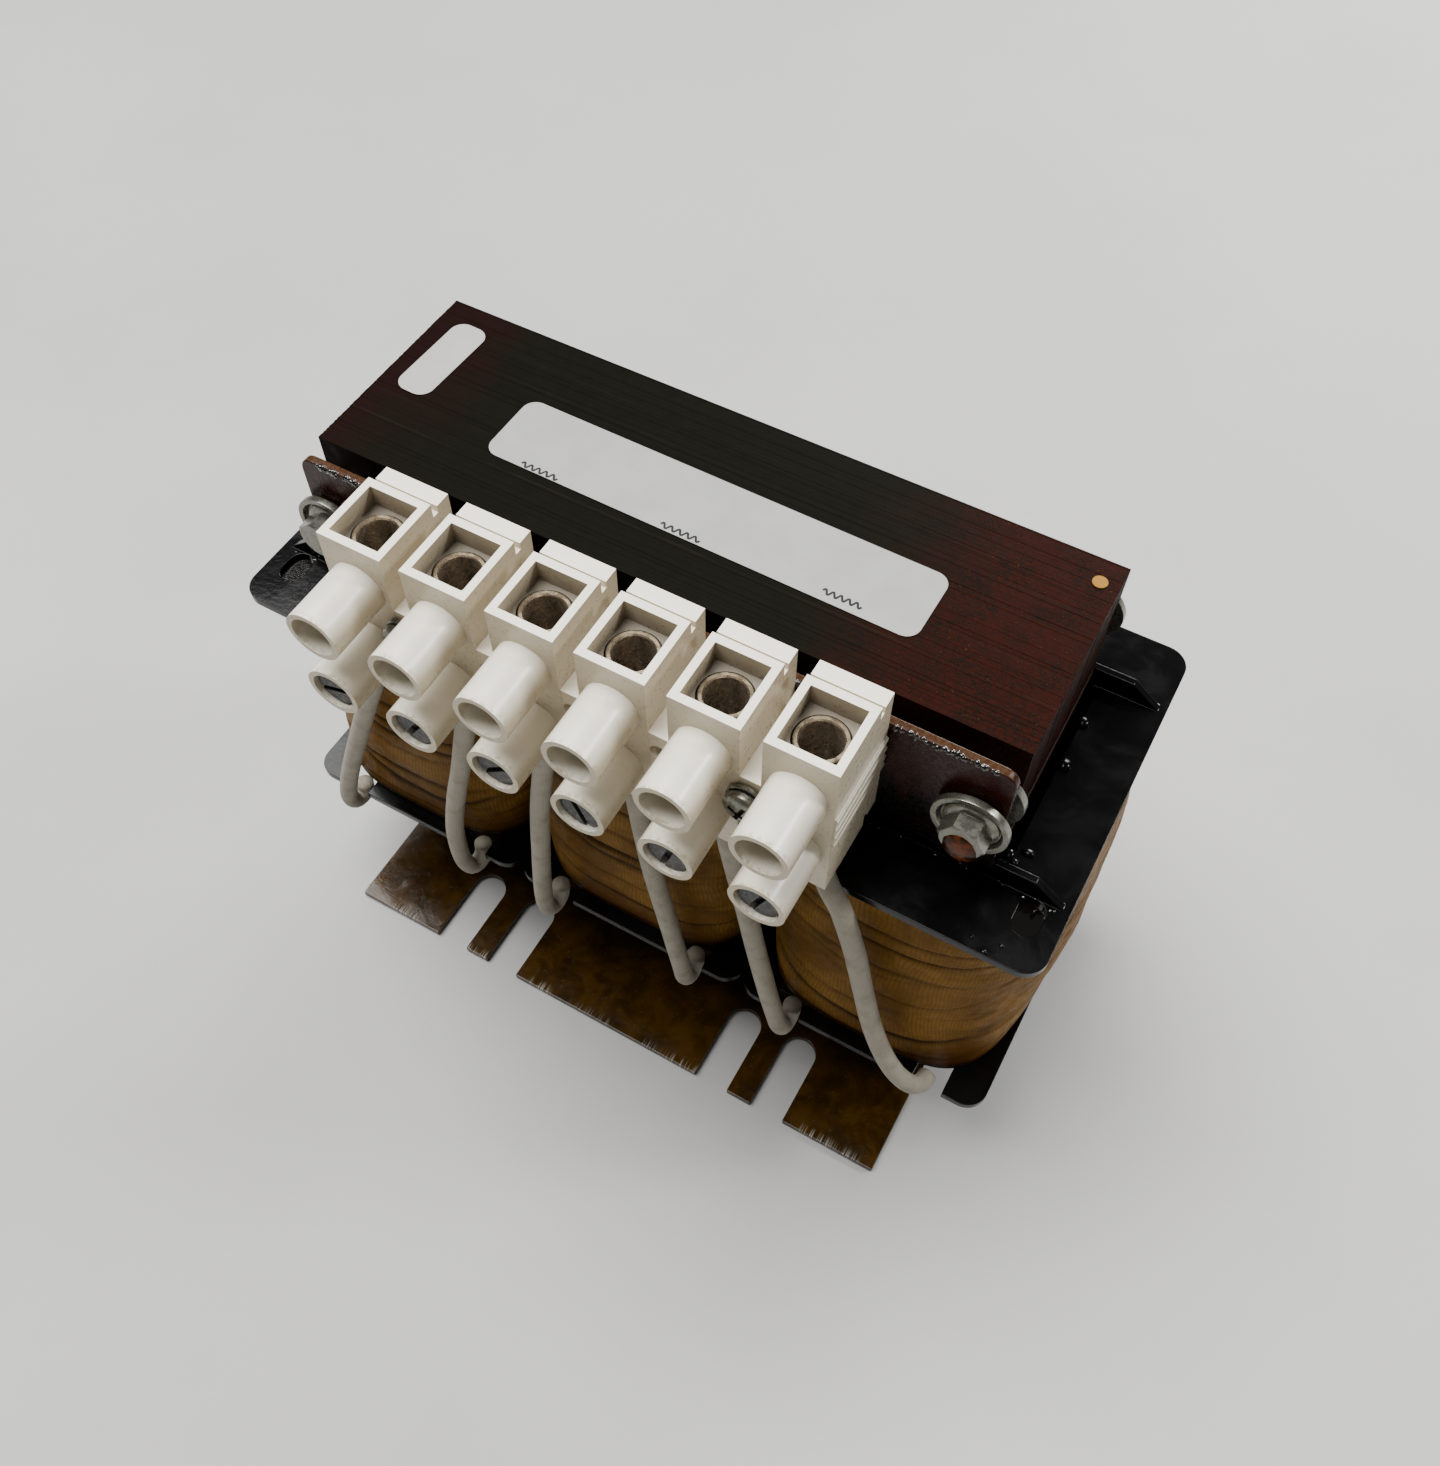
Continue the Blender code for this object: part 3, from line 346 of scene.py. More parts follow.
@dataclass(frozen=True)
class VarnishedSheets(Finish):
    """Stacked steel sheets under thin varnish: red-brown at the left, rusty at the right."""

    red_brown: Colour = tone(24, 9, 6)
    rust: Colour = tone(42, 11, 4)
    speck: Colour = tone(104, 46, 8)
    bare_and_glint: Colour = tone(44, 39, 31)
    wander_mm: float = 46.0
    brown_mm: Flat = (-50.0, -76.0)
    rust_mm: Flat = (24.0, 60.0)

    def wire(self, graph: Graph) -> None:
        """Lays the three tones along the core, with a fine line for each sheet's edge.

        Args:
            graph: The material's nodes.
        """
        x, _, _ = graph.axes()
        place = graph.place()
        cloud = graph.noise(place, 0.045, 5, 0.62)
        shift = graph.math("MULTIPLY_ADD", cloud, self.wander_mm)
        shift.node.inputs[2].default_value = -self.wander_mm / 2
        along = graph.math("ADD", x, shift)
        body = graph.blend(graph.noise(place, 0.25, 5, 0.65), self.colour, self.shade(1.5))
        left = graph.between(along, *self.brown_mm)
        body = graph.blend(left, body, self.red_brown)
        right = graph.between(along, *self.rust_mm)
        mottle = graph.between(graph.noise(place, 1.3, 6, 0.85), 0.42, 0.58)
        broad = graph.between(graph.noise(place, 0.12, 3), 0.38, 0.62, 0.5, 1.0)
        rusty = graph.blend(graph.math("MULTIPLY", mottle, broad), self.rust, self.colour)
        body = graph.blend(right, body, rusty)
        fleck = graph.between(graph.noise(place, 1.3, 5, 0.7), 0.62, 0.72, 0.0, 0.7)
        body = graph.blend(graph.math("MULTIPLY", fleck, right), body, self.speck)
        line = graph.attribute("sheet")
        body = graph.blend(graph.between(line, 0.55, 1.0, 0.0, 0.14), body, self.shade(0.45))
        # A few sheets' edges are lightened: partly bare steel, partly a painted glint.
        glint = graph.math("MULTIPLY", graph.between(line, 0.0, 0.06, 0.22, 0.0), graph.between(cloud, 0.4, 0.6))
        body = graph.blend(glint, body, self.bare_and_glint)
        hatch = graph.noise(graph.place((0.02, 2.2, 0.02)), 1.0, 2, 0.6)
        grain = graph.noise(place, 2.2, 4, 0.6)
        graph.set(
            Base_Color=body,
            Roughness=graph.between(graph.noise(place, 0.4, 4), 0.3, 0.7, 0.42, 0.62),
            Normal=graph.relief(hatch, 0.02, graph.relief(grain, 0.04)),
            Specular_IOR_Level=0.03,
        )


@dataclass(frozen=True)
class BlackMoulding(Finish):
    """Satin black plastic with a thin, uneven skin of varnish."""

    def wire(self, graph: Graph) -> None:
        """Adds varnish patches, dust and a faint orange-peel surface.

        Args:
            graph: The material's nodes.
        """
        place = graph.place()
        patch = graph.noise(place, 0.09, 4, 0.6, 0.6)
        dust = graph.between(graph.noise(place, 2.6, 2, 0.5), 0.7, 0.78, 0.0, 0.3)
        streak = graph.noise(graph.place((0.05, 0.4, 1.0)), 0.5, 3)
        body = graph.blend(graph.between(patch, 0.45, 0.7), self.colour, self.shade(1.5))
        body = graph.blend(dust, body, self.shade(4.0))
        graph.set(
            Base_Color=body,
            Roughness=graph.between(patch, 0.38, 0.62, 0.13, 0.22),
            Normal=graph.relief(streak, 0.02, graph.relief(graph.noise(place, 0.9, 3), 0.03)),
            Specular_IOR_Level=0.22,
        )


@dataclass(frozen=True)
class VarnishedFilm(Finish):
    """Brown film wound round a coil, creased, with the wire showing through as fine ribs."""

    dark: Colour = tone(20, 10, 3)
    amber: Colour = tone(70, 40, 9)
    pale: Colour = tone(134, 98, 43)
    turns_pitch: float = 0.95
    foot_mm: Flat = (58.0, 43.0)
    bottom_shade_mm: Flat = (38.5, 35.0)
    top_shade_mm: Flat = (97.0, 102.5)

    def wire(self, graph: Graph) -> None:
        """Paints shade into the creases and shadow below them, darkens the foot of the coil, paints shade along
        the top and bottom next to the flanges, and lays the wire's ribs under the film.

        Args:
            graph: The material's nodes.
        """
        _, _, z = graph.axes()
        place = graph.place()
        cloud = graph.noise(graph.place((1.0, 1.0, 0.8)), 0.07, 4, 0.6, 0.3)
        fine = graph.noise(place, 0.7, 4, 0.6)
        body = graph.blend(graph.between(cloud, 0.36, 0.62), self.colour, self.pale)
        body = graph.blend(graph.between(fine, 0.4, 0.75, 0.0, 0.18), body, self.amber)
        foot = graph.math("ADD", z, graph.math("MULTIPLY", cloud, 16.0))
        body = graph.blend(graph.between(foot, *self.foot_mm, 0.0, 0.75), body, self.amber)
        # Painted shade along the bottom and the top of the coil, next to the flanges.
        body = graph.blend(graph.between(z, *self.bottom_shade_mm, 0.0, 0.8), body, self.dark)
        body = graph.blend(graph.between(z, *self.top_shade_mm, 0.0, 0.7), body, self.dark)
        # Painted shade in the creases, and painted shadow in the band below each one.
        crease = graph.attribute("crease")
        body = graph.blend(graph.math("MULTIPLY", crease, 0.85), body, self.dark)
        wobble = graph.math("MULTIPLY", graph.noise(place, 0.05, 2), 6.0)
        around = graph.math("ADD", graph.attribute("around"), wobble)
        wave = graph.math("SINE", graph.math("MULTIPLY", around, math.tau / self.turns_pitch))
        turns = graph.math("MULTIPLY", graph.between(wave, -0.9, 0.9), graph.between(cloud, 0.38, 0.56, 0.3, 1.0))
        body = graph.blend(graph.math("MULTIPLY", turns, 0.2), body, self.dark)
        grain = graph.relief(graph.noise(place, 2.0, 3), 0.03)
        graph.set(
            Base_Color=body,
            Roughness=graph.between(fine, 0.3, 0.7, 0.32, 0.48),
            Specular_IOR_Level=0.02,
            Normal=graph.relief(turns, 0.03, graph.relief(fine, 0.09, grain)),
        )


@dataclass(frozen=True)
class WhiteMoulding(Finish):
    """Warm white plastic, turned yellow and scuffed at the mouths of the screw towers, with painted shade on its
    sides and in its funnels.
    """

    scuff: Colour = tone(188, 172, 138)
    painted_side_shade: Colour = tone(192, 180, 156)
    shaded: Colour = tone(116, 106, 92)
    mouth_mm: Flat = (-62.6, -64.0)

    def wire(self, graph: Graph) -> None:
        """Adds the yellow mouths, painted shade on the sides and undersides, painted shade in the funnels and a
        little dirt.

        Args:
            graph: The material's nodes.
        """
        _, y, _ = graph.axes()
        place = graph.place()
        cloud = graph.noise(place, 0.8, 5, 0.65)
        mouth = graph.math("MULTIPLY", graph.between(y, *self.mouth_mm), graph.between(cloud, 0.42, 0.66))
        dirt = graph.between(graph.noise(place, 0.33, 6, 0.75), 0.62, 0.78, 0.0, 0.06)
        # Painted shade: faces that do not face up get a darker, warmer colour than the tops.
        body = graph.blend(graph.between(graph.upward(), 0.1, 0.85), self.painted_side_shade, self.colour)
        body = graph.blend(dirt, body, self.scuff)
        # Painted shade, deeper in the funnels.
        body = graph.blend(graph.between(graph.attribute("depth"), 0.0, 1.0, 0.0, 0.9), body, self.shaded)
        body = graph.blend(graph.math("MULTIPLY", mouth, 0.75), body, self.scuff)
        graph.set(Base_Color=body, Roughness=graph.between(cloud, 0.3, 0.7, 0.27, 0.29))


@dataclass(frozen=True)
class PlatedMetal(Finish):
    """Plated metal with faint cloudy stains and fine turning marks."""

    stain: Colour = tone(96, 84, 66)
    staining: float = 0.35

    def wire(self, graph: Graph) -> None:
        """Adds stains, uneven polish and fine marks.

        Args:
            graph: The material's nodes.
        """
        place = graph.place()
        cloud = graph.noise(place, 0.7, 5, 0.65)
        marks = graph.noise(graph.place((0.6, 4.0, 0.6)), 1.5, 3)
        share = graph.between(cloud, 0.48, 0.72, 0.0, self.staining)
        graph.set(
            Base_Color=graph.blend(share, self.colour, self.stain),
            Roughness=graph.between(cloud, 0.3, 0.75, self.roughness * 0.75, self.roughness * 1.5),
            Normal=graph.relief(marks, 0.0015),
        )


@dataclass(frozen=True)
class TubePlating(Finish):
    """Nickel plate, with painted shade that makes the rims facing up or down darker and warmer than the bore
    walls, and fine turning marks inside.
    """

    rim: Colour = tone(158, 144, 120)

    def wire(self, graph: Graph) -> None:
        """Paints the rims darker and warmer than the bore walls, as painted shade, and adds the turning marks.

        Args:
            graph: The material's nodes.
        """
        cloud = graph.noise(graph.place(), 0.9, 3)
        turned = graph.noise(graph.place((0.02, 0.02, 2.2)), 1.0, 1)
        # Painted shade: the rims that face up or down take the darker, warmer rim colour.
        level = graph.between(graph.math("ABSOLUTE", graph.upward()), 0.45, 0.95)
        graph.set(
            Base_Color=graph.blend(level, self.colour, self.rim),
            Roughness=graph.between(cloud, 0.3, 0.7, self.roughness * 0.8, self.roughness * 1.3),
            Normal=graph.relief(turned, 0.006),
        )


@dataclass(frozen=True)
class PaintedScrew(Finish):
    """A clamp screw's face: dark grey, with pale specks of chipped plating."""

    speck: Colour = tone(130, 126, 118)

    def wire(self, graph: Graph) -> None:
        """Scatters the specks over the dark face.

        Args:
            graph: The material's nodes.
        """
        place = graph.place()
        fleck = graph.between(graph.noise(place, 2.4, 4, 0.7), 0.6, 0.68)
        cloud = graph.noise(place, 0.9, 3)
        body = graph.blend(graph.between(cloud, 0.35, 0.65), self.colour, self.shade(2.2))
        graph.set(
            Base_Color=graph.blend(graph.math("MULTIPLY", fleck, 0.75), body, self.speck),
            Roughness=graph.between(cloud, 0.3, 0.7, 0.35, 0.6),
            Normal=graph.relief(graph.noise(place, 3.2, 3), 0.08),
        )


@dataclass(frozen=True)
class DippedSteel(Finish):
    """Steel dipped in varnish that ran and pooled before it was dry."""

    pool: Colour = tone(96, 62, 12)
    bare_and_glint: Colour = tone(150, 146, 136)
    scraped_and_glint_mm: Flat = (997.4, 1000.0)

    def wire(self, graph: Graph) -> None:
        """Adds pools, runs, and on the outermost edges scraped bare metal with painted glints.

        Args:
            graph: The material's nodes.
        """
        _, y, _ = graph.axes()
        place = graph.place()
        cloud = graph.noise(place, 0.11, 5, 0.62, 0.5)
        fine = graph.noise(place, 0.8, 4, 0.6)
        body = graph.blend(graph.between(cloud, 0.34, 0.68), self.colour, self.pool)
        body = graph.blend(graph.between(fine, 0.55, 0.75, 0.0, 0.25), body, self.shade(0.6))
        reach = graph.math("ABSOLUTE", y)
        ribs = graph.noise(graph.place((2.4, 0.05, 0.05)), 1.0, 2)
        patch = graph.between(graph.noise(graph.place((0.06, 0.0, 0.0)), 1.0, 1), 0.46, 0.56)
        edge = graph.math("MULTIPLY", graph.between(reach, *self.scraped_and_glint_mm), patch)
        # The outermost edge is lightened in ribbed patches: partly scraped bare metal, partly painted glints.
        worn_and_glint = graph.math("MULTIPLY", edge, graph.between(ribs, 0.5, 0.6, 0.0, 0.85))
        graph.set(
            Base_Color=graph.blend(worn_and_glint, body, self.bare_and_glint),
            Roughness=graph.between(fine, 0.3, 0.7, self.roughness * 0.8, self.roughness * 1.4),
            Normal=graph.relief(cloud, 0.2, graph.relief(graph.math("MULTIPLY", ribs, edge), 0.15)),
            Specular_IOR_Level=0.25,
        )


@dataclass(frozen=True)
class VarnishedPlate(Finish):
    """A black plate under varnish that dried red-brown in runs, and brown on the plate's top edge."""

    runs: Colour = tone(46, 14, 8)
    top: Colour = tone(64, 42, 24)
    runs_mm: Flat = (118.0, 133.0)

    def wire(self, graph: Graph) -> None:
        """Lays the runs down from the top edge.

        Args:
            graph: The material's nodes.
        """
        _, _, z = graph.axes()
        run = graph.noise(graph.place((1.0, 1.0, 0.35)), 0.14, 5, 0.65, 0.6)
        fine = graph.noise(graph.place(), 1.1, 5, 0.75)
        level = graph.between(z, *self.runs_mm, 0.0, 0.35)
        share = graph.math("ADD", level, graph.math("MULTIPLY", run, 0.75))
        body = graph.blend(graph.between(share, 0.4, 0.72), self.colour, self.runs)
        body = graph.blend(graph.between(fine, 0.46, 0.62, 0.0, 0.5), body, self.shade(0.5))
        flat = graph.between(graph.upward(), 0.6, 0.95)
        rim = graph.math("MULTIPLY", flat, graph.between(fine, 0.3, 0.6, 0.5, 1.0))
        graph.set(
            Base_Color=graph.blend(rim, body, self.top),
            Roughness=graph.between(fine, 0.35, 0.7, self.roughness * 0.7, self.roughness * 1.8),
            Normal=graph.relief(run, 0.12, graph.relief(fine, 0.03)),
            Specular_IOR_Level=0.16,
        )


@dataclass(frozen=True)
class AmberDrop(Finish):
    """A thick drop of varnish, orange where it is thin."""

    thin: Colour = tone(98, 46, 6)

    def wire(self, graph: Graph) -> None:
        """Lightens patches of the drop.

        Args:
            graph: The material's nodes.
        """
        cloud = graph.noise(graph.place(), 0.3, 2, 0.5)
        graph.set(
            Base_Color=graph.blend(graph.between(cloud, 0.42, 0.6), self.colour, self.thin),
            Normal=graph.relief(graph.noise(graph.place(), 0.6, 2), 0.05),
            Specular_IOR_Level=0.12,
        )


@dataclass(frozen=True)
class WovenSleeving(Finish):
    """Braided glass sleeving, as two sets of strands that cross."""

    strands: float = 14.0
    lay_mm: float = 16.0
    hollow: Colour = tone(112, 104, 88)

    def wire(self, graph: Graph) -> None:
        """Weaves the strands over the tube's own running coordinates, with painted shade in the hollows between
        them.

        Args:
            graph: The material's nodes.
        """
        split = graph.node("SeparateXYZ")
        graph.feed(split.inputs[0], graph.node("UVMap", uv_map="run").outputs[0])
        around = graph.math("MULTIPLY", split.outputs[0], self.strands * math.tau)
        along = graph.math("MULTIPLY", split.outputs[1], self.strands * math.tau / self.lay_mm)
        one = graph.math("SINE", graph.math("ADD", around, along))
        other = graph.math("SINE", graph.math("SUBTRACT", around, along))
        weave = graph.between(graph.math("MULTIPLY", one, other), -0.7, 0.7)
        cloud = graph.noise(graph.place(), 0.25, 4)
        body = graph.blend(graph.between(cloud, 0.4, 0.7, 0.0, 0.4), self.colour, self.hollow)
        # Painted shade in the hollows between the strands.
        body = graph.blend(graph.between(weave, 0.0, 0.5, 0.35, 0.0), body, self.hollow)
        graph.set(Base_Color=body, Normal=graph.relief(weave, 0.045))


@dataclass(frozen=True)
class StickerFilm(Finish):
    """A satin label."""

    def wire(self, graph: Graph) -> None:
        """Adds a faint waviness from the sheets below.

        Args:
            graph: The material's nodes.
        """
        wave = graph.noise(graph.place((0.02, 1.2, 1.0)), 1.0, 2)
        cloud = graph.noise(graph.place(), 0.12, 4)
        graph.set(
            Base_Color=graph.blend(graph.between(cloud, 0.35, 0.7, 0.0, 0.5), self.colour, self.shade(0.86)),
            Normal=graph.relief(wave, 0.02),
            Specular_IOR_Level=0.25,
        )


@dataclass(frozen=True)
class StudioFloor(Finish):
    """A pale, slightly smudged board."""

    def wire(self, graph: Graph) -> None:
        """Adds broad faint smudges.

        Args:
            graph: The material's nodes.
        """
        place = graph.place()
        smudge = graph.noise(place, 0.006, 5, 0.6)
        graph.set(
            Base_Color=graph.blend(graph.between(smudge, 0.35, 0.7), self.colour, self.shade(0.93)),
            Normal=graph.relief(graph.noise(place, 0.4, 4), 0.03),
        )


class Finishes:
    """All the finishes of the reactor and the studio."""

    SHEETS = VarnishedSheets("varnished_sheets", tone(11, 11, 6), 0.5)
    PRESSBOARD = Finish("pressboard", tone(44, 26, 14), 0.75)
    BLACK = BlackMoulding("black_moulding", tone(8, 8, 9), 0.24)
    COPPER = PlatedMetal("varnished_copper", tone(58, 30, 16), 0.4, 0.6)
    FILM = VarnishedFilm("varnished_film", tone(103, 72, 29), 0.34)
    SLEEVE = WovenSleeving("woven_sleeving", tone(160, 153, 138), 0.7)
    WHITE = WhiteMoulding("white_moulding", tone(252, 246, 230), 0.24)
    NICKEL = TubePlating("nickel_plate", tone(196, 184, 168), 0.26, 0.9)
    SCREW = PaintedScrew("dark_screw", tone(14, 14, 14), 0.5)
    ZINC = PlatedMetal("zinc_plate", tone(120, 120, 111), 0.27, 0.85, stain=tone(84, 75, 56), staining=0.5)
    BRACKET = VarnishedPlate("varnished_plate", tone(11, 7, 6), 0.24)
    FOOT = DippedSteel(
        "dipped_foot", tone(38, 23, 1), 0.2, 0.0, 0.12, 0.06, tone(66, 43, 2), scraped_and_glint_mm=(53.45, 56.05)
    )
    LABEL = StickerFilm("label_film", tone(164, 164, 161), 0.38)
    TAG = StickerFilm("tag_film", tone(176, 175, 170), 0.38)
    INK = StickerFilm("label_ink", tone(30, 30, 32), 0.5)
    DOT = StickerFilm("paint_dot", tone(146, 102, 8), 0.5)
    AMBER = AmberDrop("amber_varnish", tone(42, 18, 3), 0.16)
    GLOSS = Finish("dark_varnish", tone(12, 8, 6), 0.08, 0.0, 1.0, 0.03)
    FLOOR = StudioFloor("pale_board", tone(182, 182, 181), 0.6)


class Stock:
    """A workpiece that is cut, joined and softened, and is used up when it becomes a mesh."""

    def __init__(self, shape: bmesh.types.BMesh) -> None:
        """Turns a shape into a workpiece.

        Args:
            shape: The closed shape, which is freed.
        """
        mesh = bpy.data.meshes.new("stock")
        bmesh.ops.recalc_face_normals(shape, faces=shape.faces)
        shape.to_mesh(mesh)
        shape.free()
        self.item = bpy.data.objects.new("stock", mesh)
        bpy.context.scene.collection.objects.link(self.item)

    @classmethod
    def block(cls, low: Sequence[float], high: Sequence[float]) -> "Stock":
        """A block between two opposite corners.

        Args:
            low: The lowest corner.
            high: The highest corner.

        Returns:
            The workpiece.
        """
        shape = bmesh.new()
        bmesh.ops.create_cube(shape, size=1.0)
        bmesh.ops.scale(shape, vec=Vector(high) - Vector(low), verts=shape.verts)
        bmesh.ops.translate(shape, vec=(Vector(low) + Vector(high)) / 2, verts=shape.verts)
        return cls(shape)

    @classmethod
    def rod(cls, diameter: float, start: Point, end: Point, sides: int = 48) -> "Stock":
        """A cylinder between two points.

        Args:
            diameter: Its diameter.
            start: The middle of one end.
            end: The middle of the other end.
            sides: How many sides it has.

        Returns:
            The workpiece.
        """
        axis = Vector(end) - Vector(start)
        shape = bmesh.new()
        bmesh.ops.create_cone(
            shape, cap_ends=True, segments=sides, radius1=diameter / 2, radius2=diameter / 2, depth=axis.length
        )
        turn = Vector((0, 0, 1)).rotation_difference(axis).to_matrix().to_4x4()
        middle = Matrix.Translation((Vector(start) + Vector(end)) / 2)
        bmesh.ops.transform(shape, matrix=middle @ turn, verts=shape.verts)
        return cls(shape)

    @classmethod
    def turned(cls, profile: Sequence[Flat], sides: int = 48, ring: bool = False) -> "Stock":
        """Turns a profile about Z.

        Args:
            profile: Points as (radius, z). An open profile starts and ends on the axis.
            sides: How many sides it has.
            ring: Whether the profile is closed and leaves a hole on the axis.

        Returns:
            The workpiece.
        """
        shape = bmesh.new()
        rows = []
        for radius, z in profile:
            if radius < 1e-9:
                rows.append([shape.verts.new((0.0, 0.0, z))])
                continue
            angles = (math.tau * i / sides for i in range(sides))
            rows.append([shape.verts.new((radius * math.cos(a), radius * math.sin(a), z)) for a in angles])
        following = rows[1:] + rows[:1] if ring else rows[1:]
        for upper, lower in zip(rows, following):
            for i in range(sides):
                j = (i + 1) % sides
                corners = [
                    upper[i % len(upper)], upper[j % len(upper)], lower[j % len(lower)], lower[i % len(lower)],
                ]
                shape.faces.new(list(dict.fromkeys(corners)))
        return cls(shape)

    @classmethod
    def plate(cls, outline: Sequence[Flat], thickness: float) -> "Stock":
        """A flat outline in the XY plane with a thickness about z = 0.

        Args:
            outline: The points in order.
            thickness: How thick it is.

        Returns:
            The workpiece.
        """
        shape = bmesh.new()
        low = [shape.verts.new((x, y, -thickness / 2)) for x, y in outline]
        high = [shape.verts.new((x, y, thickness / 2)) for x, y in outline]
        shape.faces.new(list(reversed(low)))
        shape.faces.new(high)
        for i in range(len(outline)):
            j = (i + 1) % len(outline)
            shape.faces.new((low[i], low[j], high[j], high[i]))
        return cls(shape)

    def place(self, location: Sequence[float] = (0, 0, 0), degrees: Sequence[float] = (0, 0, 0)) -> "Stock":
        """Turns the workpiece by angles in degrees, then moves it.

        Args:
            location: How far it is moved.
            degrees: The angles about X, Y and Z.

        Returns:
            The workpiece.
        """
        turn = Euler([math.radians(angle) for angle in degrees]).to_matrix().to_4x4()
        self.item.data.transform(Matrix.Translation(location) @ turn)
        return self

    def copy(self, location: Sequence[float] = (0, 0, 0), degrees: Sequence[float] = (0, 0, 0)) -> "Stock":
        """A turned and moved copy of the workpiece.

        Args:
            location: How far it is moved.
            degrees: The angles about X, Y and Z.

        Returns:
            The copy.
        """
        shape = bmesh.new()
        shape.from_mesh(self.item.data)
        return Stock(shape).place(location, degrees)

    def apply(self, kind: str, **settings: object) -> "Stock":
        """Applies one modifier.

        Args:
            kind: Blender's name for the modifier's type.
            **settings: What to set on it.

        Returns:
            The workpiece.
        """
        modifier = self.item.modifiers.new("step", kind)
        for name, value in settings.items():
            setattr(modifier, name, value)
        bpy.context.view_layer.update()
        graph = bpy.context.evaluated_depsgraph_get()
        mesh = bpy.data.meshes.new_from_object(self.item.evaluated_get(graph))
        self.item.modifiers.clear()
        old = self.item.data
        self.item.data = mesh
        bpy.data.meshes.remove(old)
        return self

    def combine(self, operation: str, tools: Iterable["Stock"]) -> "Stock":
        """Applies a Boolean with each tool in turn, and uses the tools up.

        Args:
            operation: Blender's name for it.
            tools: The other workpieces.

        Returns:
            The workpiece.
        """
        for tool in tools:
            self.apply("BOOLEAN", operation=operation, solver="EXACT", object=tool.item)
            tool.discard()
        return self

    def cut(self, *tools: "Stock") -> "Stock":
        """Takes the tools' volumes out of the workpiece."""
        return self.combine("DIFFERENCE", tools)

    def join(self, *tools: "Stock") -> "Stock":
        """Adds the tools' volumes to the workpiece."""
        return self.combine("UNION", tools)

    def soften(self, width: float, segments: int = 2, angle: float = 35.0) -> "Stock":
        """Rounds every edge that is sharper than an angle in degrees.

        Args:
            width: How far the rounding reaches.
            segments: Its steps.
            angle: The least angle.

        Returns:
            The workpiece.
        """
        shape = bmesh.new()
        shape.from_mesh(self.item.data)
        bmesh.ops.remove_doubles(shape, verts=shape.verts, dist=2e-6)
        bmesh.ops.dissolve_limit(shape, angle_limit=math.radians(1), verts=shape.verts, edges=shape.edges)
        shape.to_mesh(self.item.data)
        shape.free()
        return self.apply(
            "BEVEL", width=width, segments=segments, limit_method="ANGLE", angle_limit=math.radians(angle),
            use_clamp_overlap=True, miter_outer="MITER_ARC",
        )

    def discard(self) -> None:
        """Removes the workpiece."""
        mesh = self.item.data
        bpy.data.objects.remove(self.item, do_unlink=True)
        bpy.data.meshes.remove(mesh)

    def mesh(self, angle: float = 38.0) -> bpy.types.Mesh:
        """Smooths the shading up to an angle in degrees, and hands over the mesh.

        Args:
            angle: Edges sharper than this stay sharp.

        Returns:
            The mesh.
        """
        self.item.data.shade_smooth()
        self.item.data.set_sharp_from_angle(angle=math.radians(angle))
        self.apply("WEIGHTED_NORMAL", keep_sharp=True, mode="FACE_AREA", weight=60)
        mesh = self.item.data.copy()
        self.discard()
        return mesh


def merged(stocks: Sequence[Stock]) -> Stock:
    """Lays several workpieces into one, as they are.

    Args:
        stocks: The workpieces, which are used up.

    Returns:
        The whole.
    """
    shape = bmesh.new()
    for stock in stocks:
        shape.from_mesh(stock.item.data)
        stock.discard()
    mesh = bpy.data.meshes.new("stock")
    shape.to_mesh(mesh)
    shape.free()
    whole = Stock(bmesh.new())
    whole.item.data = mesh
    return whole


def fit(
    name: str, mesh: bpy.types.Mesh, finish: Finish, nodes: Sequence[str] = ()
) -> bpy.types.Object:
    """Makes a piece from a mesh and lets it ride on the part.

    Args:
        name: The piece's name.
        mesh: Its mesh, in the part's frame.
        finish: Its finish.
        nodes: The plain solids that it stands for.

    Returns:
        The piece.
    """
    mesh.name = name
    mesh.materials.clear()
    mesh.materials.append(finish.material())
    piece = bpy.data.objects.new(name, mesh)
    bpy.context.scene.collection.objects.link(piece)
    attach(piece, BODY)
    if nodes:
        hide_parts(*nodes)
    log.info("%s: %d faces", name, len(mesh.polygons))
    return piece


def arc(centre: Flat, radius: float, start: float, end: float, steps: int = 8) -> list[Flat]:
    """Points on an arc between two angles in degrees.

    Args:
        centre: The arc's middle.
        radius: Its radius.
        start: The first angle.
        end: The last angle.
        steps: How many parts it has.

    Returns:
        The points.
    """
    angles = (math.radians(start + (end - start) * i / steps) for i in range(steps + 1))
    return [(centre[0] + radius * math.cos(a), centre[1] + radius * math.sin(a)) for a in angles]


def rounded_rectangle(width: float, depth: float, radius: float, steps: int = 8) -> list[Flat]:
    """A rectangle about the origin with round corners, counter-clockwise.

    Args:
        width: Its size along X.
        depth: Its size along Y.
        radius: Its corners' radius.
        steps: The parts of each corner.

    Returns:
        The points.
    """
    x = width / 2 - radius
    y = depth / 2 - radius
    corners = ((x, y, 0), (-x, y, 90), (-x, -y, 180), (x, -y, 270))
    return [point for cx, cy, start in corners for point in arc((cx, cy), radius, start, start + 90, steps)]


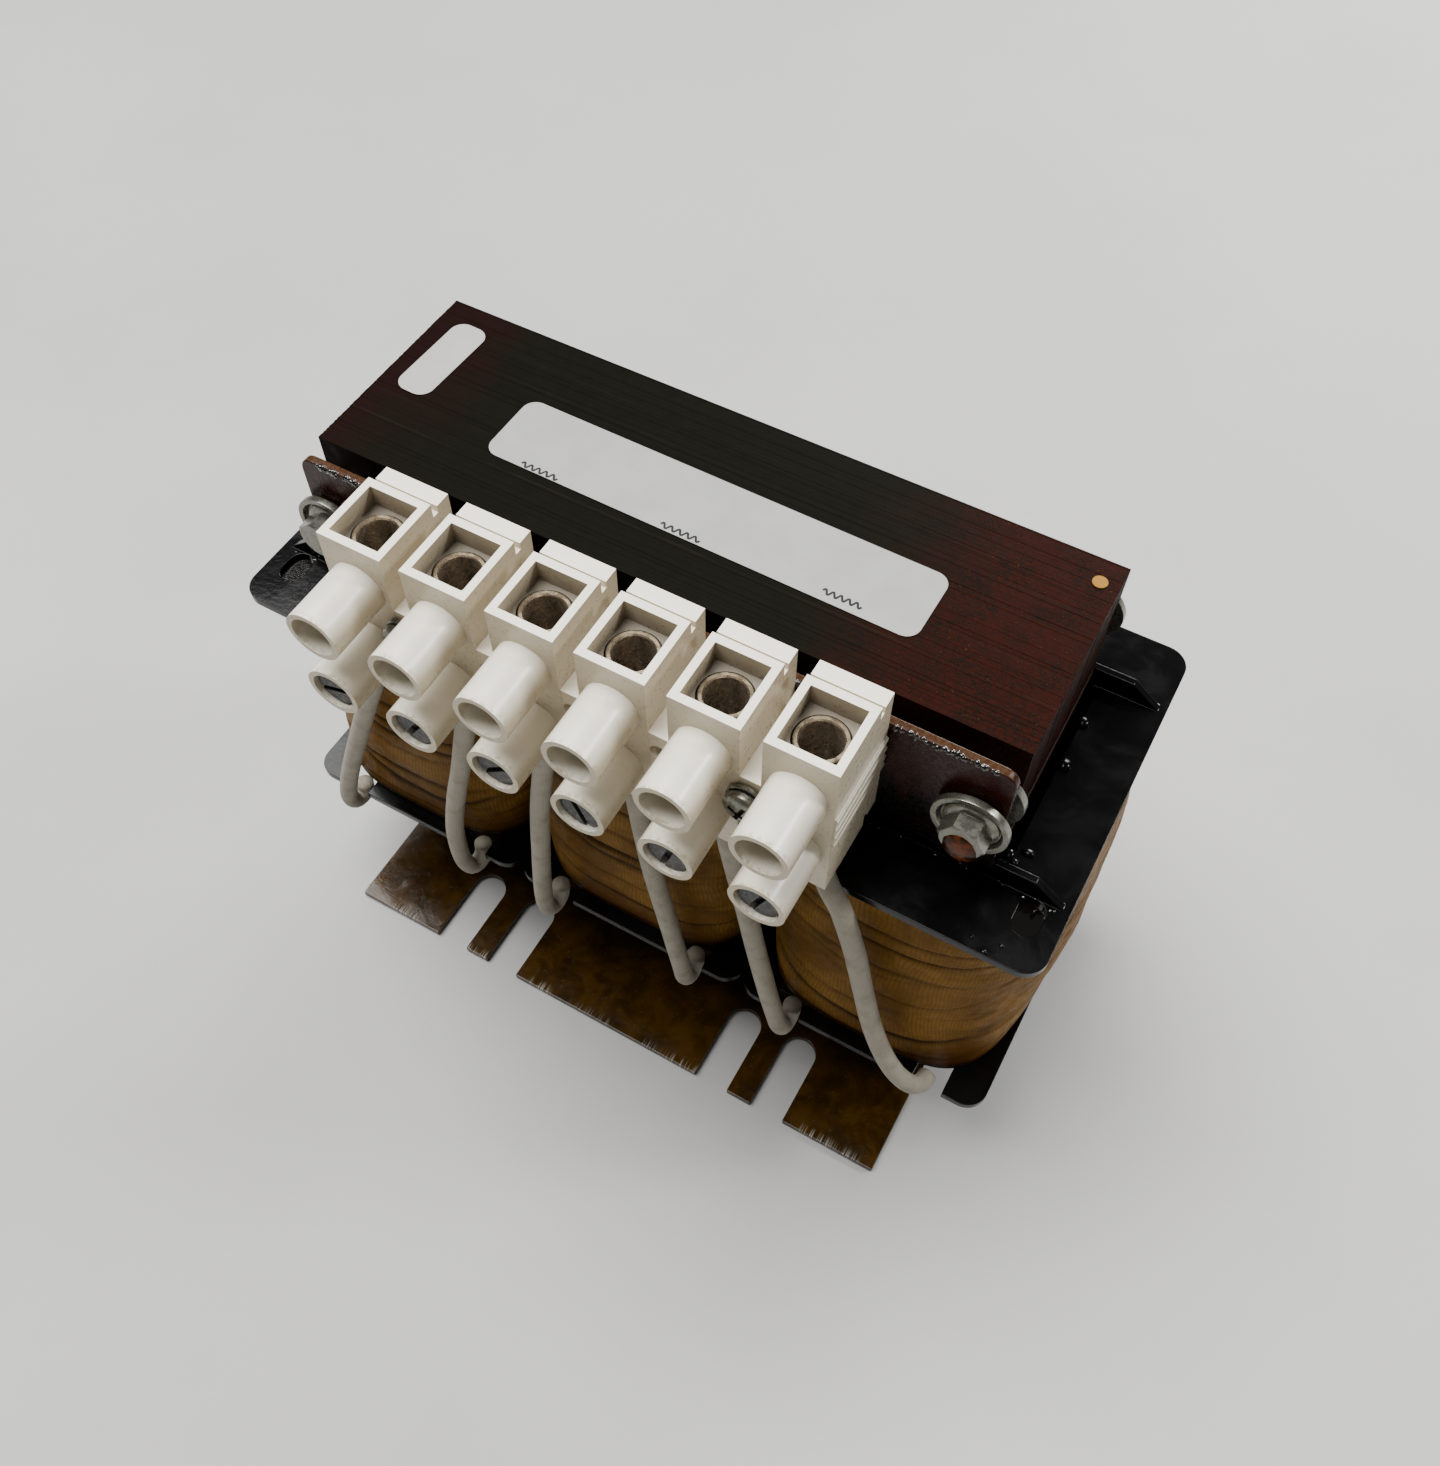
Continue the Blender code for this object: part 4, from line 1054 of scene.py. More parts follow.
def smooth_route(points: Sequence[Vector], count: int) -> list[Vector]:
    """Evenly spaced points on a smooth curve through a route's own points.

    Args:
        points: The route's own points.
        count: How many points to return.

    Returns:
        The points.
    """
    padded = [2 * points[0] - points[1], *points, 2 * points[-1] - points[-2]]
    steps = 12
    fine = []
    for before, start, end, after in zip(padded, padded[1:], padded[2:], padded[3:]):
        for i in range(steps):
            t = i / steps
            fine.append(0.5 * (
                2 * start + (end - before) * t + (2 * before - 5 * start + 4 * end - after) * t ** 2
                + (3 * start - before - 3 * end + after) * t ** 3
            ))
    fine.append(points[-1])
    lengths = [0.0]
    for a, b in zip(fine, fine[1:]):
        lengths.append(lengths[-1] + (b - a).length)
    chosen = []
    index = 0
    for i in range(count):
        target = lengths[-1] * i / (count - 1)
        while index < len(fine) - 2 and lengths[index + 1] < target:
            index += 1
        span = lengths[index + 1] - lengths[index]
        chosen.append(fine[index].lerp(fine[index + 1], (target - lengths[index]) / span))
    return chosen


@dataclass
class LaminatedCore:
    """The E stack and the I yoke, built sheet by sheet, with the boards in the air gaps."""

    sheet: float = 0.5 * MM
    stagger: float = 0.06 * MM
    leg: float = 30.48 * MM
    window: float = 30.48 * MM
    yoke: float = 30.48 * MM
    board_edge: float = 0.15 * MM
    face_tone: float = 0.4

    def build(self) -> None:
        """Builds all the core's pieces."""
        self.stack("yoke_sheets", "core_i_yoke", self.i_outline)
        self.stack("e_sheets", "core_e_stack", self.e_outline)
        for leg in Leg:
            node = f"gap_spacer_{leg.name.lower()}"
            low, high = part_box(node)
            board = Stock.block(low, high).soften(self.board_edge)
            fit(f"gap_board_{leg.name.lower()}", board.mesh(), Finishes.PRESSBOARD, [node])

    def i_outline(self, low: Vector, high: Vector) -> list[Flat]:
        """The outline of an I sheet, as (x, z)."""
        return [(low.x, low.z), (high.x, low.z), (high.x, high.z), (low.x, high.z)]

    def e_outline(self, low: Vector, high: Vector) -> list[Flat]:
        """The outline of an E sheet, as (x, z).

        Args:
            low: The sheet's lowest corner.
            high: Its highest corner.

        Returns:
            The points.
        """
        half = self.leg / 2
        shoulder = low.z + self.yoke
        outline = [(low.x, low.z), (high.x, low.z), (high.x, high.z)]
        for x in (half + self.window, half, -half, -half - self.window):
            inward = [(x, high.z), (x, shoulder)]
            outline += inward if x in (half + self.window, -half) else reversed(inward)
        return outline + [(low.x, high.z)]

    def stack(self, name: str, node: str, outline: Callable[[Vector, Vector], list[Flat]]) -> None:
        """Builds a stack of sheets, each a little out of line, with a tone for each sheet.

        Args:
            name: The piece's name.
            node: The solid that it stands for.
            outline: Makes a sheet's outline from the stack's corners.
        """
        low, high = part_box(node)
        count = round((high.y - low.y) / self.sheet)
        pitch = (high.y - low.y) / count
        verts = []
        faces = []
        tones = []
        for number in range(count):
            share = hash_share(number, low.z / MM)
            slack = self.stagger * hash_share(number, 7.0)
            lean = self.stagger * (hash_share(number, 3.0) - 0.5)
            sheet_low = Vector((low.x + slack, 0, low.z + slack))
            sheet_high = Vector((high.x - self.stagger / 2 + lean, 0, high.z - slack))
            points = outline(sheet_low, sheet_high)
            first = len(verts)
            size = len(points)
            for y in (low.y + number * pitch, low.y + (number + 1) * pitch):
                verts += [(x, y, z) for x, z in points]
            faces.append(list(range(first, first + size)))
            faces.append(list(reversed(range(first + size, first + 2 * size))))
            faces += [
                [first + i, first + size + i, first + size + (i + 1) % size, first + (i + 1) % size]
                for i in range(size)
            ]
            tones += [self.face_tone, self.face_tone] + [share] * size
        mesh = bpy.data.meshes.new(name)
        mesh.from_pydata(verts, [], faces)
        carried = mesh.attributes.new("sheet", "FLOAT", "FACE")
        carried.data.foreach_set("value", tones)
        fit(name, mesh, Finishes.SHEETS, [node])


@dataclass
class Bobbins:
    """Three equal black mouldings: a square tube round each leg between two flanges."""

    pitch: float = 61.9 * MM
    middle_y: float = -0.94 * MM
    bottom: float = 32.48 * MM
    height: float = 72.7 * MM
    flange_width: float = 61.6 * MM
    flange_depth: float = 84.8 * MM
    flange: float = 2.0 * MM
    corner: float = 5.0 * MM
    wall: float = 2.0 * MM
    bore_width: float = 32.96 * MM
    bore_depth: float = 49.58 * MM
    rib: float = 1.6 * MM
    rib_height: float = 5.0 * MM
    rib_taper: float = 8.0 * MM
    slot_width: float = 5.4 * MM
    slot_length: float = 8.2 * MM
    slot_inset: float = 6.6 * MM
    notch_width: float = 7.6 * MM
    notch_depth: float = 9.0 * MM
    notch_inset: float = 12.8 * MM
    notch_corner: float = 1.5 * MM
    seat: float = 0.3 * MM
    edge: float = 0.35 * MM
    margin: float = 1.0 * MM

    def build(self) -> None:
        """Builds one moulding and places it on each leg."""
        moulding = self.moulding()
        for leg in Leg:
            at = (leg.value * self.pitch, self.middle_y, self.bottom)
            name = leg.name.lower()
            fit(f"former_{name}", moulding.copy(at).mesh(), Finishes.BLACK, [f"bobbin_{name}"])
        moulding.discard()

    def moulding(self) -> Stock:
        """The moulding with its ribs, slots and notches.

        Returns:
            The workpiece.
        """
        tube_width = self.bore_width + 2 * self.wall
        tube_depth = self.bore_depth + 2 * self.wall
        outline = rounded_rectangle(self.flange_width, self.flange_depth, self.corner, 10)
        body = Stock.plate(outline, self.flange).place((0, 0, self.flange / 2))
        body.join(Stock.plate(outline, self.flange).place((0, 0, self.height - self.flange / 2)))
        tube = Stock.plate(rounded_rectangle(tube_width, tube_depth, self.wall, 4), self.height - self.flange)
        body.join(tube.place((0, 0, self.height / 2)))
        for side in Side:
            body.join(self.locating_rib(side, tube_depth))
        x, y = self.bore_width / 2, self.bore_depth / 2
        body.cut(Stock.block((-x, -y, -self.margin), (x, y, self.height + self.margin)))
        for side in Side:
            body.cut(self.lead_slot(side, tube_depth), self.lead_notch(side))
        return body.soften(self.edge, 3)

    def locating_rib(self, side: Side, tube_depth: float) -> Stock:
        """A tapered rib beside the stack on the top flange.

        Args:
            side: At the back or the front of the stack.
            tube_depth: The tube's outer depth.

        Returns:
            The workpiece.
        """
        half = self.flange_width / 2
        outline = [
            (-half + self.edge, -self.flange / 2), (half - self.edge, -self.flange / 2),
            (half - self.rib_taper, self.rib_height), (self.rib_taper - half, self.rib_height),
        ]
        y = side.value * (tube_depth - self.rib) / 2
        return Stock.plate(outline, self.rib).place((0, y, self.height), Facing.FRONT.value)

    def lead_slot(self, side: Side, tube_depth: float) -> Stock:
        """A cutter for a round-ended slot in the top flange.

        Args:
            side: Left or right.
            tube_depth: The tube's outer depth.

        Returns:
            The cutter.
        """
        radius = self.slot_width / 2
        x = side.value * (self.flange_width / 2 - self.slot_inset)
        back = -tube_depth / 2 - self.seat - radius
        front = back - (self.slot_length - self.slot_width)
        outline = arc((x, back), radius, 0, 180, 12) + arc((x, front), radius, 180, 360, 12)
        return Stock.plate(outline, 3 * self.flange).place((0, 0, self.height))

    def lead_notch(self, side: Side) -> Stock:
        """A cutter for a notch at the front edge of the bottom flange.

        Args:
            side: Left or right.

        Returns:
            The cutter.
        """
        x = side.value * (self.flange_width / 2 - self.notch_inset)
        half = self.notch_width / 2
        front = -self.flange_depth / 2
        corner = self.notch_corner
        back = front + self.notch_depth - corner
        outline = [(x - half, front - self.margin), (x + half, front - self.margin)]
        outline += arc((x + half - corner, back), corner, 0, 90, 6)
        outline += arc((x - half + corner, back), corner, 90, 180, 6)
        return Stock.plate(outline, 3 * self.flange)


@dataclass(frozen=True)
class Crease:
    """A crease in the film that sags like a smile: its middle, sag, half length and depth, in mm."""

    x: float
    z: float
    sag: float
    reach: float
    depth: float
    width: float

    def at(self, x: float, z: float) -> float:
        """How deep the crease is at a point, from 0 to 1.

        Args:
            x: The point's place along X.
            z: Its height.

        Returns:
            The depth.
        """
        away = abs(x - self.x) / self.reach
        if away >= 1.0:
            return 0.0
        off = z - self.z - self.sag * away * away
        # A broad band below the crease: it dents the film a little, and the film's finish darkens it as painted
        # shadow.
        shadow_band = 0.3 * math.exp(-((off / (4 * self.width)) ** 2)) if off < 0 else 0.0
        return (1 - away * away) ** 0.8 * (math.exp(-((off / self.width) ** 2)) + shadow_band)


@dataclass
class WrappedCoils:
    """The film round each coil, creased and pulled over the windings, and the windings inside."""

    sides: int = 260
    rows: int = 124
    half_width: float = 30.2
    half_depth: float = 40.0
    bottom: float = 34.78
    height: float = 68.1
    tuck: float = 0.9
    inset: float = 1.5
    outer_bulge: float = 2.3
    squareness: float = 4.0
    outer_squareness: float = 2.7
    crease_count: int = 8
    crease_x: Flat = (-7, 7)
    crease_sag: Flat = (4.0, 10.0)
    crease_reach: Flat = (17, 33)
    crease_depth: Flat = (0.3, 1.0)
    crease_width: Flat = (0.45, 1.0)
    fold: float = 0.5
    cloud: float = 0.45
    ripple: float = 0.06
    dent: float = 0.65
    pitch: float = 61.9
    middle_y: float = -0.94
    layers: int = 40
    wire_sides: int = 96
    wire_band: float = 3.0
    wire_dips: Flat = (0.8, 0.3)

    def build(self) -> None:
        """Builds the three coils."""
        for leg in Leg:
            name = leg.name.lower()
            fit(f"film_{name}", self.film(leg), Finishes.FILM, [f"coil_wrap_{name}"])
            self.winding(leg, name)

    def winding(self, leg: Leg, name: str) -> None:
        """The hidden turns of wire, as a ribbed ring just inside the film.

        Args:
            leg: Which coil it is.
            name: The leg's name.
        """
        node = f"winding_{name}"
        rows = []
        inner = self.oval(leg, -self.tuck - self.inset - self.wire_band, 0.0, self.wire_sides)
        for number in range(2 * self.layers + 1):
            z = self.bottom + self.height * number / (2 * self.layers)
            growth = -self.tuck - self.inset - self.wire_dips[number % 2]
            rows.append([(x, y, z) for x, y in self.oval(leg, growth, 0.0, self.wire_sides)])
        ends = [[(x, y, z) for x, y in inner] for z in (self.bottom, self.bottom + self.height)]
        rows = [ends[0], *rows, ends[1]]
        fit(f"turns_{name}", self.skin(rows, leg, {}), Finishes.COPPER, [node])

    def oval(self, leg: Leg, growth: float, bulge: float, sides: int) -> list[Flat]:
        """The coil's plan in millimetres: an oval with flat sides, fuller where no coil is beside it.

        Args:
            leg: Which coil it is.
            growth: How far it stands off the nominal plan.
            bulge: How full its free side is, from 0 to 1.
            sides: How many points it has.

        Returns:
            The points about the coil's own middle.
        """
        points = []
        for i in range(sides):
            angle = math.tau * (i + 0.5) / sides
            cosine, sine = math.cos(angle), math.sin(angle)
            free = bulge if leg is not Leg.CENTRE and cosine * leg.value > 0 else 0.0
            power = self.squareness + (self.outer_squareness - self.squareness) * free
            x = (self.half_width + growth + self.outer_bulge * free) * abs(cosine) ** (2 / power)
            y = (self.half_depth + growth) * abs(sine) ** (2 / power)
            points.append((math.copysign(x, cosine), math.copysign(y, sine)))
        return points

    def running(self, plan: list[Flat]) -> list[float]:
        """How far each point of a closed plan lies from its first point, by the shorter way round.

        Args:
            plan: The plan's points, in millimetres.

        Returns:
            The distances, in millimetres.
        """
        steps = [math.dist(plan[i - 1], plan[i]) for i in range(1, len(plan))]
        whole = sum(steps) + math.dist(plan[-1], plan[0])
        reached = [sum(steps[:i]) for i in range(len(plan))]
        return [min(way, whole - way) for way in reached]

    def creases(self, leg: Leg) -> list[Crease]:
        """Draws the creases of one coil's front and back.

        Args:
            leg: Which coil it is.

        Returns:
            The creases, whose x runs round the coil's front.
        """
        chance = random.Random(31 + leg.value)
        made = []
        for number in range(self.crease_count):
            share = (number + chance.uniform(-0.35, 0.35)) / self.crease_count
            z = self.bottom + self.height * (0.06 + 0.86 * share)
            made.append(Crease(
                chance.uniform(*self.crease_x), z, chance.uniform(*self.crease_sag),
                chance.uniform(*self.crease_reach), chance.uniform(*self.crease_depth),
                chance.uniform(*self.crease_width),
            ))
        return made

    def film(self, leg: Leg) -> bpy.types.Mesh:
        """The creased film of one coil.

        Args:
            leg: Which coil it is.

        Returns:
            The mesh, which carries the values crease and around.
        """
        creases = self.creases(leg)
        inner = self.oval(leg, -self.tuck - self.inset, 0.0, self.sides)
        top = self.bottom + self.height
        rows = [[(x, y, self.bottom) for x, y in inner]]
        around = self.running(self.oval(leg, 0.0, 1.0, self.sides))
        values = {"crease": [0.0] * self.sides, "around": list(around)}
        for row in range(self.rows):
            share = row / (self.rows - 1)
            swell = math.sin(math.pi * share) ** 0.7 if 0 < row < self.rows - 1 else 0.0
            z = self.bottom + share * self.height
            plan = self.oval(leg, -self.tuck * (1 - swell), swell, self.sides)
            points = []
            for i, (x, y) in enumerate(plan):
                away = Vector((x / self.half_width ** 2, y / self.half_depth ** 2)).normalized()
                here = Vector((x + leg.value * 80, y, z))
                depth = sum(crease.depth * crease.at(x, z) for crease in creases)
                fold = 1 - abs(noise.noise(here * Vector((0.012, 0.016, 0.17)) + Vector((0, 0, 5)))) * 12
                depth += self.fold * max(0.0, fold) * min(1.0, abs(x) / self.half_width) ** 2
                cloud = noise.fractal(here * 0.07, 0.8, 2.1, 4)
                ripple = noise.noise(here * Vector((0.35, 0.35, 0.12)))
                uneven = self.cloud * cloud + self.ripple * ripple - self.dent * min(depth, 1.2)
                out = swell ** 0.5 * uneven
                points.append((x + away.x * out, y + away.y * out, z))
                values["crease"].append(min(1.0, depth * 1.25))
            values["around"] += around
            rows.append(points)
        rows.append([(x, y, top) for x, y in inner])
        values["crease"] += [0.0] * self.sides
        values["around"] += around
        return self.skin(rows, leg, values)

    def skin(self, rows: list[list[Point]], leg: Leg, values: dict[str, list[float]]) -> bpy.types.Mesh:
        """Joins closed rows of points into a ring-shaped skin.

        Args:
            rows: Rows of points about the coil's own middle, in millimetres.
            leg: Which coil it is.
            values: Values that the points carry, by name.

        Returns:
            The mesh in the part's frame.
        """
        size = len(rows[0])
        verts = [
            ((x + leg.value * self.pitch) * MM, (y + self.middle_y) * MM, z * MM)
            for row in rows for x, y, z in row
        ]
        faces = []
        for row in range(len(rows)):
            for i in range(size):
                j = (i + 1) % size
                low, high = row * size, (row + 1) % len(rows) * size
                faces.append((low + i, low + j, high + j, high + i))
        mesh = bpy.data.meshes.new("skin")
        mesh.from_pydata(verts, [], faces)
        for name, numbers in values.items():
            mesh.attributes.new(name, "FLOAT", "POINT").data.foreach_set("value", numbers)
        mesh.shade_smooth()
        mesh.set_sharp_from_angle(angle=math.radians(60))
        return mesh


@dataclass
class TerminalStrip:
    """The white moulding: six poles joined by webs, each with two funnels and two towers."""

    poles: int = 6
    pitch: float = 18.1 * MM
    width: float = 13.9 * MM
    height: float = 38.2 * MM
    back: float = -30.1 * MM
    box_back: float = -35.0 * MM
    front: float = -50.4 * MM
    mouth: float = -64.2 * MM
    middle_z: float = 133.96 * MM
    centre_y: float = -42.7 * MM
    step: float = 1.7 * MM
    groove_width: float = 1.5 * MM
    groove_depth: float = 1.6 * MM
    funnel_width: float = 10.8 * MM
    funnel_wall: float = 1.7 * MM
    funnel_depth: float = 4.7 * MM
    tower_spacing: float = 16.8 * MM
    tower: float = 11.2 * MM
    tower_bore: float = 8.9 * MM
    web_height: float = 10.5 * MM
    web_hole: float = 3.9 * MM
    stub: float = 0.6 * MM
    pocket: float = 10.4 * MM
    edge: float = 0.22 * MM
    margin: float = 1.0 * MM
    overlap: float = 0.4 * MM
    saw_levels: tuple[float, ...] = (-0.34, -0.1, 0.16, 0.42)
    saw_ridge: float = 1.0 * MM
    saw_depth: float = 0.25 * MM

    def build(self) -> None:
        """Builds one pole, repeats it and joins the poles with webs."""
        pole = self.pole()
        parts = [pole.copy((self.pole_x(number), 0, self.middle_z)) for number in range(self.poles)]
        pole.discard()
        for number in range(self.poles - 1):
            parts.append(self.web(self.pole_x(number) + self.pitch / 2))
        parts.append(self.cut_stub())
        moulding = merged(parts).mesh()
        self.mark_depths(moulding)
        fit("strip_moulding", moulding, Finishes.WHITE, ["terminal_housing"])

    def mark_depths(self, mesh: bpy.types.Mesh) -> None:
        """Gives each point how deep it lies in a funnel, from 0 to 1, as the value depth.

        Args:
            mesh: The finished moulding.
        """
        slack = 0.05 * MM
        middles = [self.pole_x(number) for number in range(self.poles)]
        front = self.front + self.funnel_wall - slack
        back = self.box_back - self.funnel_wall + slack
        depths = []
        for vert in mesh.vertices:
            x, y, z = vert.co
            aside = min(abs(x - middle) for middle in middles)
            inside = front < y < back and aside < self.funnel_width / 2 + slack
            below = self.height / 2 - abs(z - self.middle_z)
            depths.append(max(0.0, min(1.0, below / self.funnel_depth)) if inside else 0.0)
        mesh.attributes.new("depth", "FLOAT", "POINT").data.foreach_set("value", depths)

    def pole_x(self, number: int) -> float:
        """The middle of a pole, counted from 0 at the left."""
        return (number - (self.poles - 1) / 2) * self.pitch

    def levels(self) -> tuple[float, float]:
        """The heights of the two towers about the pole's middle."""
        return (self.tower_spacing / 2, -self.tower_spacing / 2)

    def pole(self) -> Stock:
        """One pole about x = 0 and z = 0.

        Returns:
            The workpiece.
        """
        half = self.height / 2
        lower = half - self.step
        upper_edge = [
            (self.back, lower), (self.box_back + self.groove_width, lower),
            (self.box_back + self.groove_width, lower - self.groove_depth),
            (self.box_back, lower - self.groove_depth), (self.box_back, half), (self.front, half),
        ]
        outline = upper_edge + [(y, -z) for y, z in reversed(upper_edge)]
        body = Stock.plate(outline, self.width).place(degrees=(90, 0, 90))
        for z in self.levels():
            body.join(Stock.rod(self.tower, (0, self.front + self.margin, z), (0, self.mouth, z), 56))
        for sign in (-1, 1):
            floor = sign * (half - self.funnel_depth)
            rim = sign * (half + self.margin)
            body.cut(Stock.block(
                (-self.funnel_width / 2, self.front + self.funnel_wall, min(floor, rim)),
                (self.funnel_width / 2, self.box_back - self.funnel_wall, max(floor, rim)),
            ))
        body.cut(Stock.rod(self.pocket, (0, self.centre_y, -half), (0, self.centre_y, half), 56))
        for z in self.levels():
            body.cut(Stock.rod(self.tower_bore, (0, self.mouth - self.margin, z), (0, self.centre_y, z), 56))
        return body.soften(self.edge, 2)

    def web(self, x: float) -> Stock:
        """The web between two poles, with its screw hole.

        Args:
            x: Its middle.

        Returns:
            The workpiece.
        """
        half_gap = (self.pitch - self.width) / 2 + 0.5 * MM
        half = self.web_height / 2
        z = self.middle_z
        body = Stock.block(
            (x - half_gap, self.front + 0.1 * MM, z - half), (x + half_gap, self.back - 0.1 * MM, z + half)
        )
        hole = Stock.rod(self.web_hole, (x, self.front - self.margin, z), (x, self.back + self.margin, z), 32)
        return body.cut(hole).soften(0.1 * MM)

    def cut_stub(self) -> Stock:
        """What is left of the web that was sawn off beside the last pole, with its saw ridges.

        Returns:
            The workpiece.
        """
        left = self.pole_x(self.poles - 1) + self.width / 2 - self.overlap
        right = left + self.overlap + self.stub
        front, back = self.front + 0.3 * MM, self.back - 0.4 * MM
        half = self.web_height / 2
        z = self.middle_z
        body = Stock.block((left, front, z - half), (right - self.saw_depth, back, z + half))
        ridge = self.saw_ridge / 2
        for level in self.saw_levels:
            middle = z + level * self.web_height
            body.join(Stock.block((left, front, middle - ridge), (right, back, middle + ridge)))
        return body.soften(0.12 * MM)


@dataclass
class Clamps:
    """The plated clamp tubes in the poles and the slotted screws in the towers."""

    strip: TerminalStrip
    outer: float = 9.8 * MM
    bore: float = 7.8 * MM
    half: float = 14.8 * MM
    ridge_pitch: float = 0.62 * MM
    ridge_height: float = 0.07 * MM
    head: float = 8.2 * MM
    head_depth: float = 3.2 * MM
    shank: float = 6.0 * MM
    slot_width: float = 1.2 * MM
    slot_depth: float = 1.6 * MM
    rim: float = 0.2 * MM
    play: float = 0.6 * MM
    face_edge: float = 0.5 * MM
    shoulder: float = 0.15 * MM

    def build(self) -> None:
        """Builds one of each and repeats it in the poles."""
        tube = self.tube()
        for number in range(self.strip.poles):
            x = self.strip.pole_x(number)
            label = number + 1
            middle = (x, self.strip.centre_y, self.strip.middle_z)
            mesh = tube.copy(middle).mesh(16)
            fit(f"clamp_tube_{label}", mesh, Finishes.NICKEL, [f"terminal_clamp_{label}"])
            for level, finish in (("upper", Finishes.NICKEL), ("lower", Finishes.SCREW)):
                node = f"{level}_clamp_screw_{label}"
                low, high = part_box(node)
                turn = 360 * hash_share(number, len(level))
                screw = self.screw(high.y - low.y).place(degrees=(0, 0, turn)).place(degrees=Facing.FRONT.value)
                screw.place((x, low.y, (low.z + high.z) / 2))
                fit(f"{level}_screw_{label}", screw.mesh(), finish, [node])
        tube.discard()

    def tube(self) -> Stock:
        """A clamp tube with fine ridges inside and a rounded rim.

        Returns:
            The workpiece.
        """
        radius = self.bore / 2
        edge = self.rim
        count = int((2 * self.half - 4 * edge) / self.ridge_pitch)
        wall = []
        for i in range(2 * count + 1):
            z = self.half - 2 * edge - i * self.ridge_pitch / 2
            wall.append((radius + (self.ridge_height if i % 2 else 0.0), z))
        outer = self.outer / 2
        profile = [
            (outer, -self.half + edge), (outer, self.half - edge), (outer - edge, self.half),
            (radius + edge, self.half), *wall, (radius + edge, -self.half), (outer - edge, -self.half),
        ]
        tube = Stock.turned(list(reversed(profile)), 56, ring=True)
        for z in self.strip.levels():
            tube.cut(Stock.rod(self.shank + self.play, (0, -self.outer, z), (0, 0, z), 32))
        return tube

    def screw(self, length: float) -> Stock:
        """A slotted screw along Z, with its head's top at z = 0.

        Args:
            length: The screw's length.

        Returns:
            The workpiece.
        """
        head = self.head / 2
        shank = self.shank / 2
        edge, shoulder = self.face_edge, self.shoulder
        profile = [
            (0.0, 0.0), (head - edge, 0.0), (head - shoulder, -shoulder), (head, -edge),
            (head, -self.head_depth), (shank, -self.head_depth), (shank, -length + edge),
            (shank - edge, -length), (0.0, -length),
        ]
        reach = head + MM
        half = self.slot_width / 2
        slot = Stock.block((-reach, -half, -self.slot_depth), (reach, half, MM))
        return Stock.turned(profile, 40).cut(slot).soften(0.12 * MM)


@dataclass
class StripScrews:
    """Two pan-head screws with split washers that hold the strip to its bracket."""

    strip: TerminalStrip
    webs: tuple[int, int] = (0, 4)
    shank: float = 3.3 * MM
    head: float = 7.6 * MM
    dome: float = 2.6 * MM
    rim: float = 1.0 * MM
    washer_outer: float = 8.2 * MM
    washer: float = 1.0 * MM
    cross_width: float = 0.9 * MM
    cross_length: float = 4.6 * MM
    cross_depth: float = 1.5 * MM
    cross_turn: Flat = (27.0, 40.0)
    thread_pitch: float = 0.7 * MM
    thread_depth: float = 0.25 * MM
    play: float = 0.3 * MM
    split: float = 0.9 * MM
    split_turn: float = -38.0
    washer_edge: float = 0.15 * MM

    def build(self) -> None:
        """Builds both screws with their washers."""
        for side, web in zip(Side, self.webs):
            name = side.name.lower()
            x = self.strip.pole_x(web) + self.strip.pitch / 2
            low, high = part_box(f"strip_screw_{name}")
            turn = self.cross_turn[0] + self.cross_turn[1] * side.value
            screw = self.screw(high.y - low.y - self.dome).place(degrees=(0, 0, turn))
            screw.place((x, low.y + self.dome, self.strip.middle_z), Facing.FRONT.value)
            fit(f"pan_screw_{name}", screw.mesh(), Finishes.ZINC, [f"strip_screw_{name}"])
            low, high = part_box(f"strip_washer_{name}")
            washer = self.split_washer().place((x, high.y, self.strip.middle_z), Facing.FRONT.value)
            fit(f"split_washer_{name}", washer.mesh(), Finishes.ZINC, [f"strip_washer_{name}"])

    def screw(self, reach: float) -> Stock:
        """A domed screw with a cross recess, its seat at z = 0.

        Args:
            reach: The shank's length.

        Returns:
            The workpiece.
        """
        head = self.head / 2
        shank = self.shank / 2
        profile = [(0.0, self.dome)]
        for degrees in range(10, 91, 10):
            angle = math.radians(degrees)
            profile.append((head * math.sin(angle), self.rim + (self.dome - self.rim) * math.cos(angle)))
        profile += [(head, 0.25 * MM), (head - 0.2 * MM, 0.0), (shank, 0.0)]
        for number in range(int(reach / self.thread_pitch) * 2):
            radius = shank - (self.thread_depth if number % 2 else 0.0)
            profile.append((radius, -number * self.thread_pitch / 2 - 0.1 * MM))
        profile.append((0.0, -reach))
        arm = self.cross_length / 2
        half = self.cross_width / 2
        floor = self.dome - self.cross_depth
        screw = Stock.turned(profile, 40)
        screw.cut(Stock.block((-arm, -half, floor), (arm, half, self.dome + self.rim)))
        return screw.cut(Stock.block((-half, -arm, floor), (half, arm, self.dome + self.rim)))

    def split_washer(self) -> Stock:
        """A split spring washer along Z from z = 0.

        Returns:
            The workpiece.
        """
        inner, outer = self.shank / 2 + self.play, self.washer_outer / 2
        thick, edge = self.washer, self.washer_edge
        profile = [
            (inner, thick), (inner, 0.0), (outer - edge, 0.0), (outer, edge), (outer, thick - edge),
            (outer - edge, thick),
        ]
        gap = Stock.block((-self.split / 2, 0, -MM), (self.split / 2, outer + MM, thick + MM))
        return Stock.turned(profile, 40, ring=True).cut(gap.place(degrees=(0, 0, self.split_turn)))


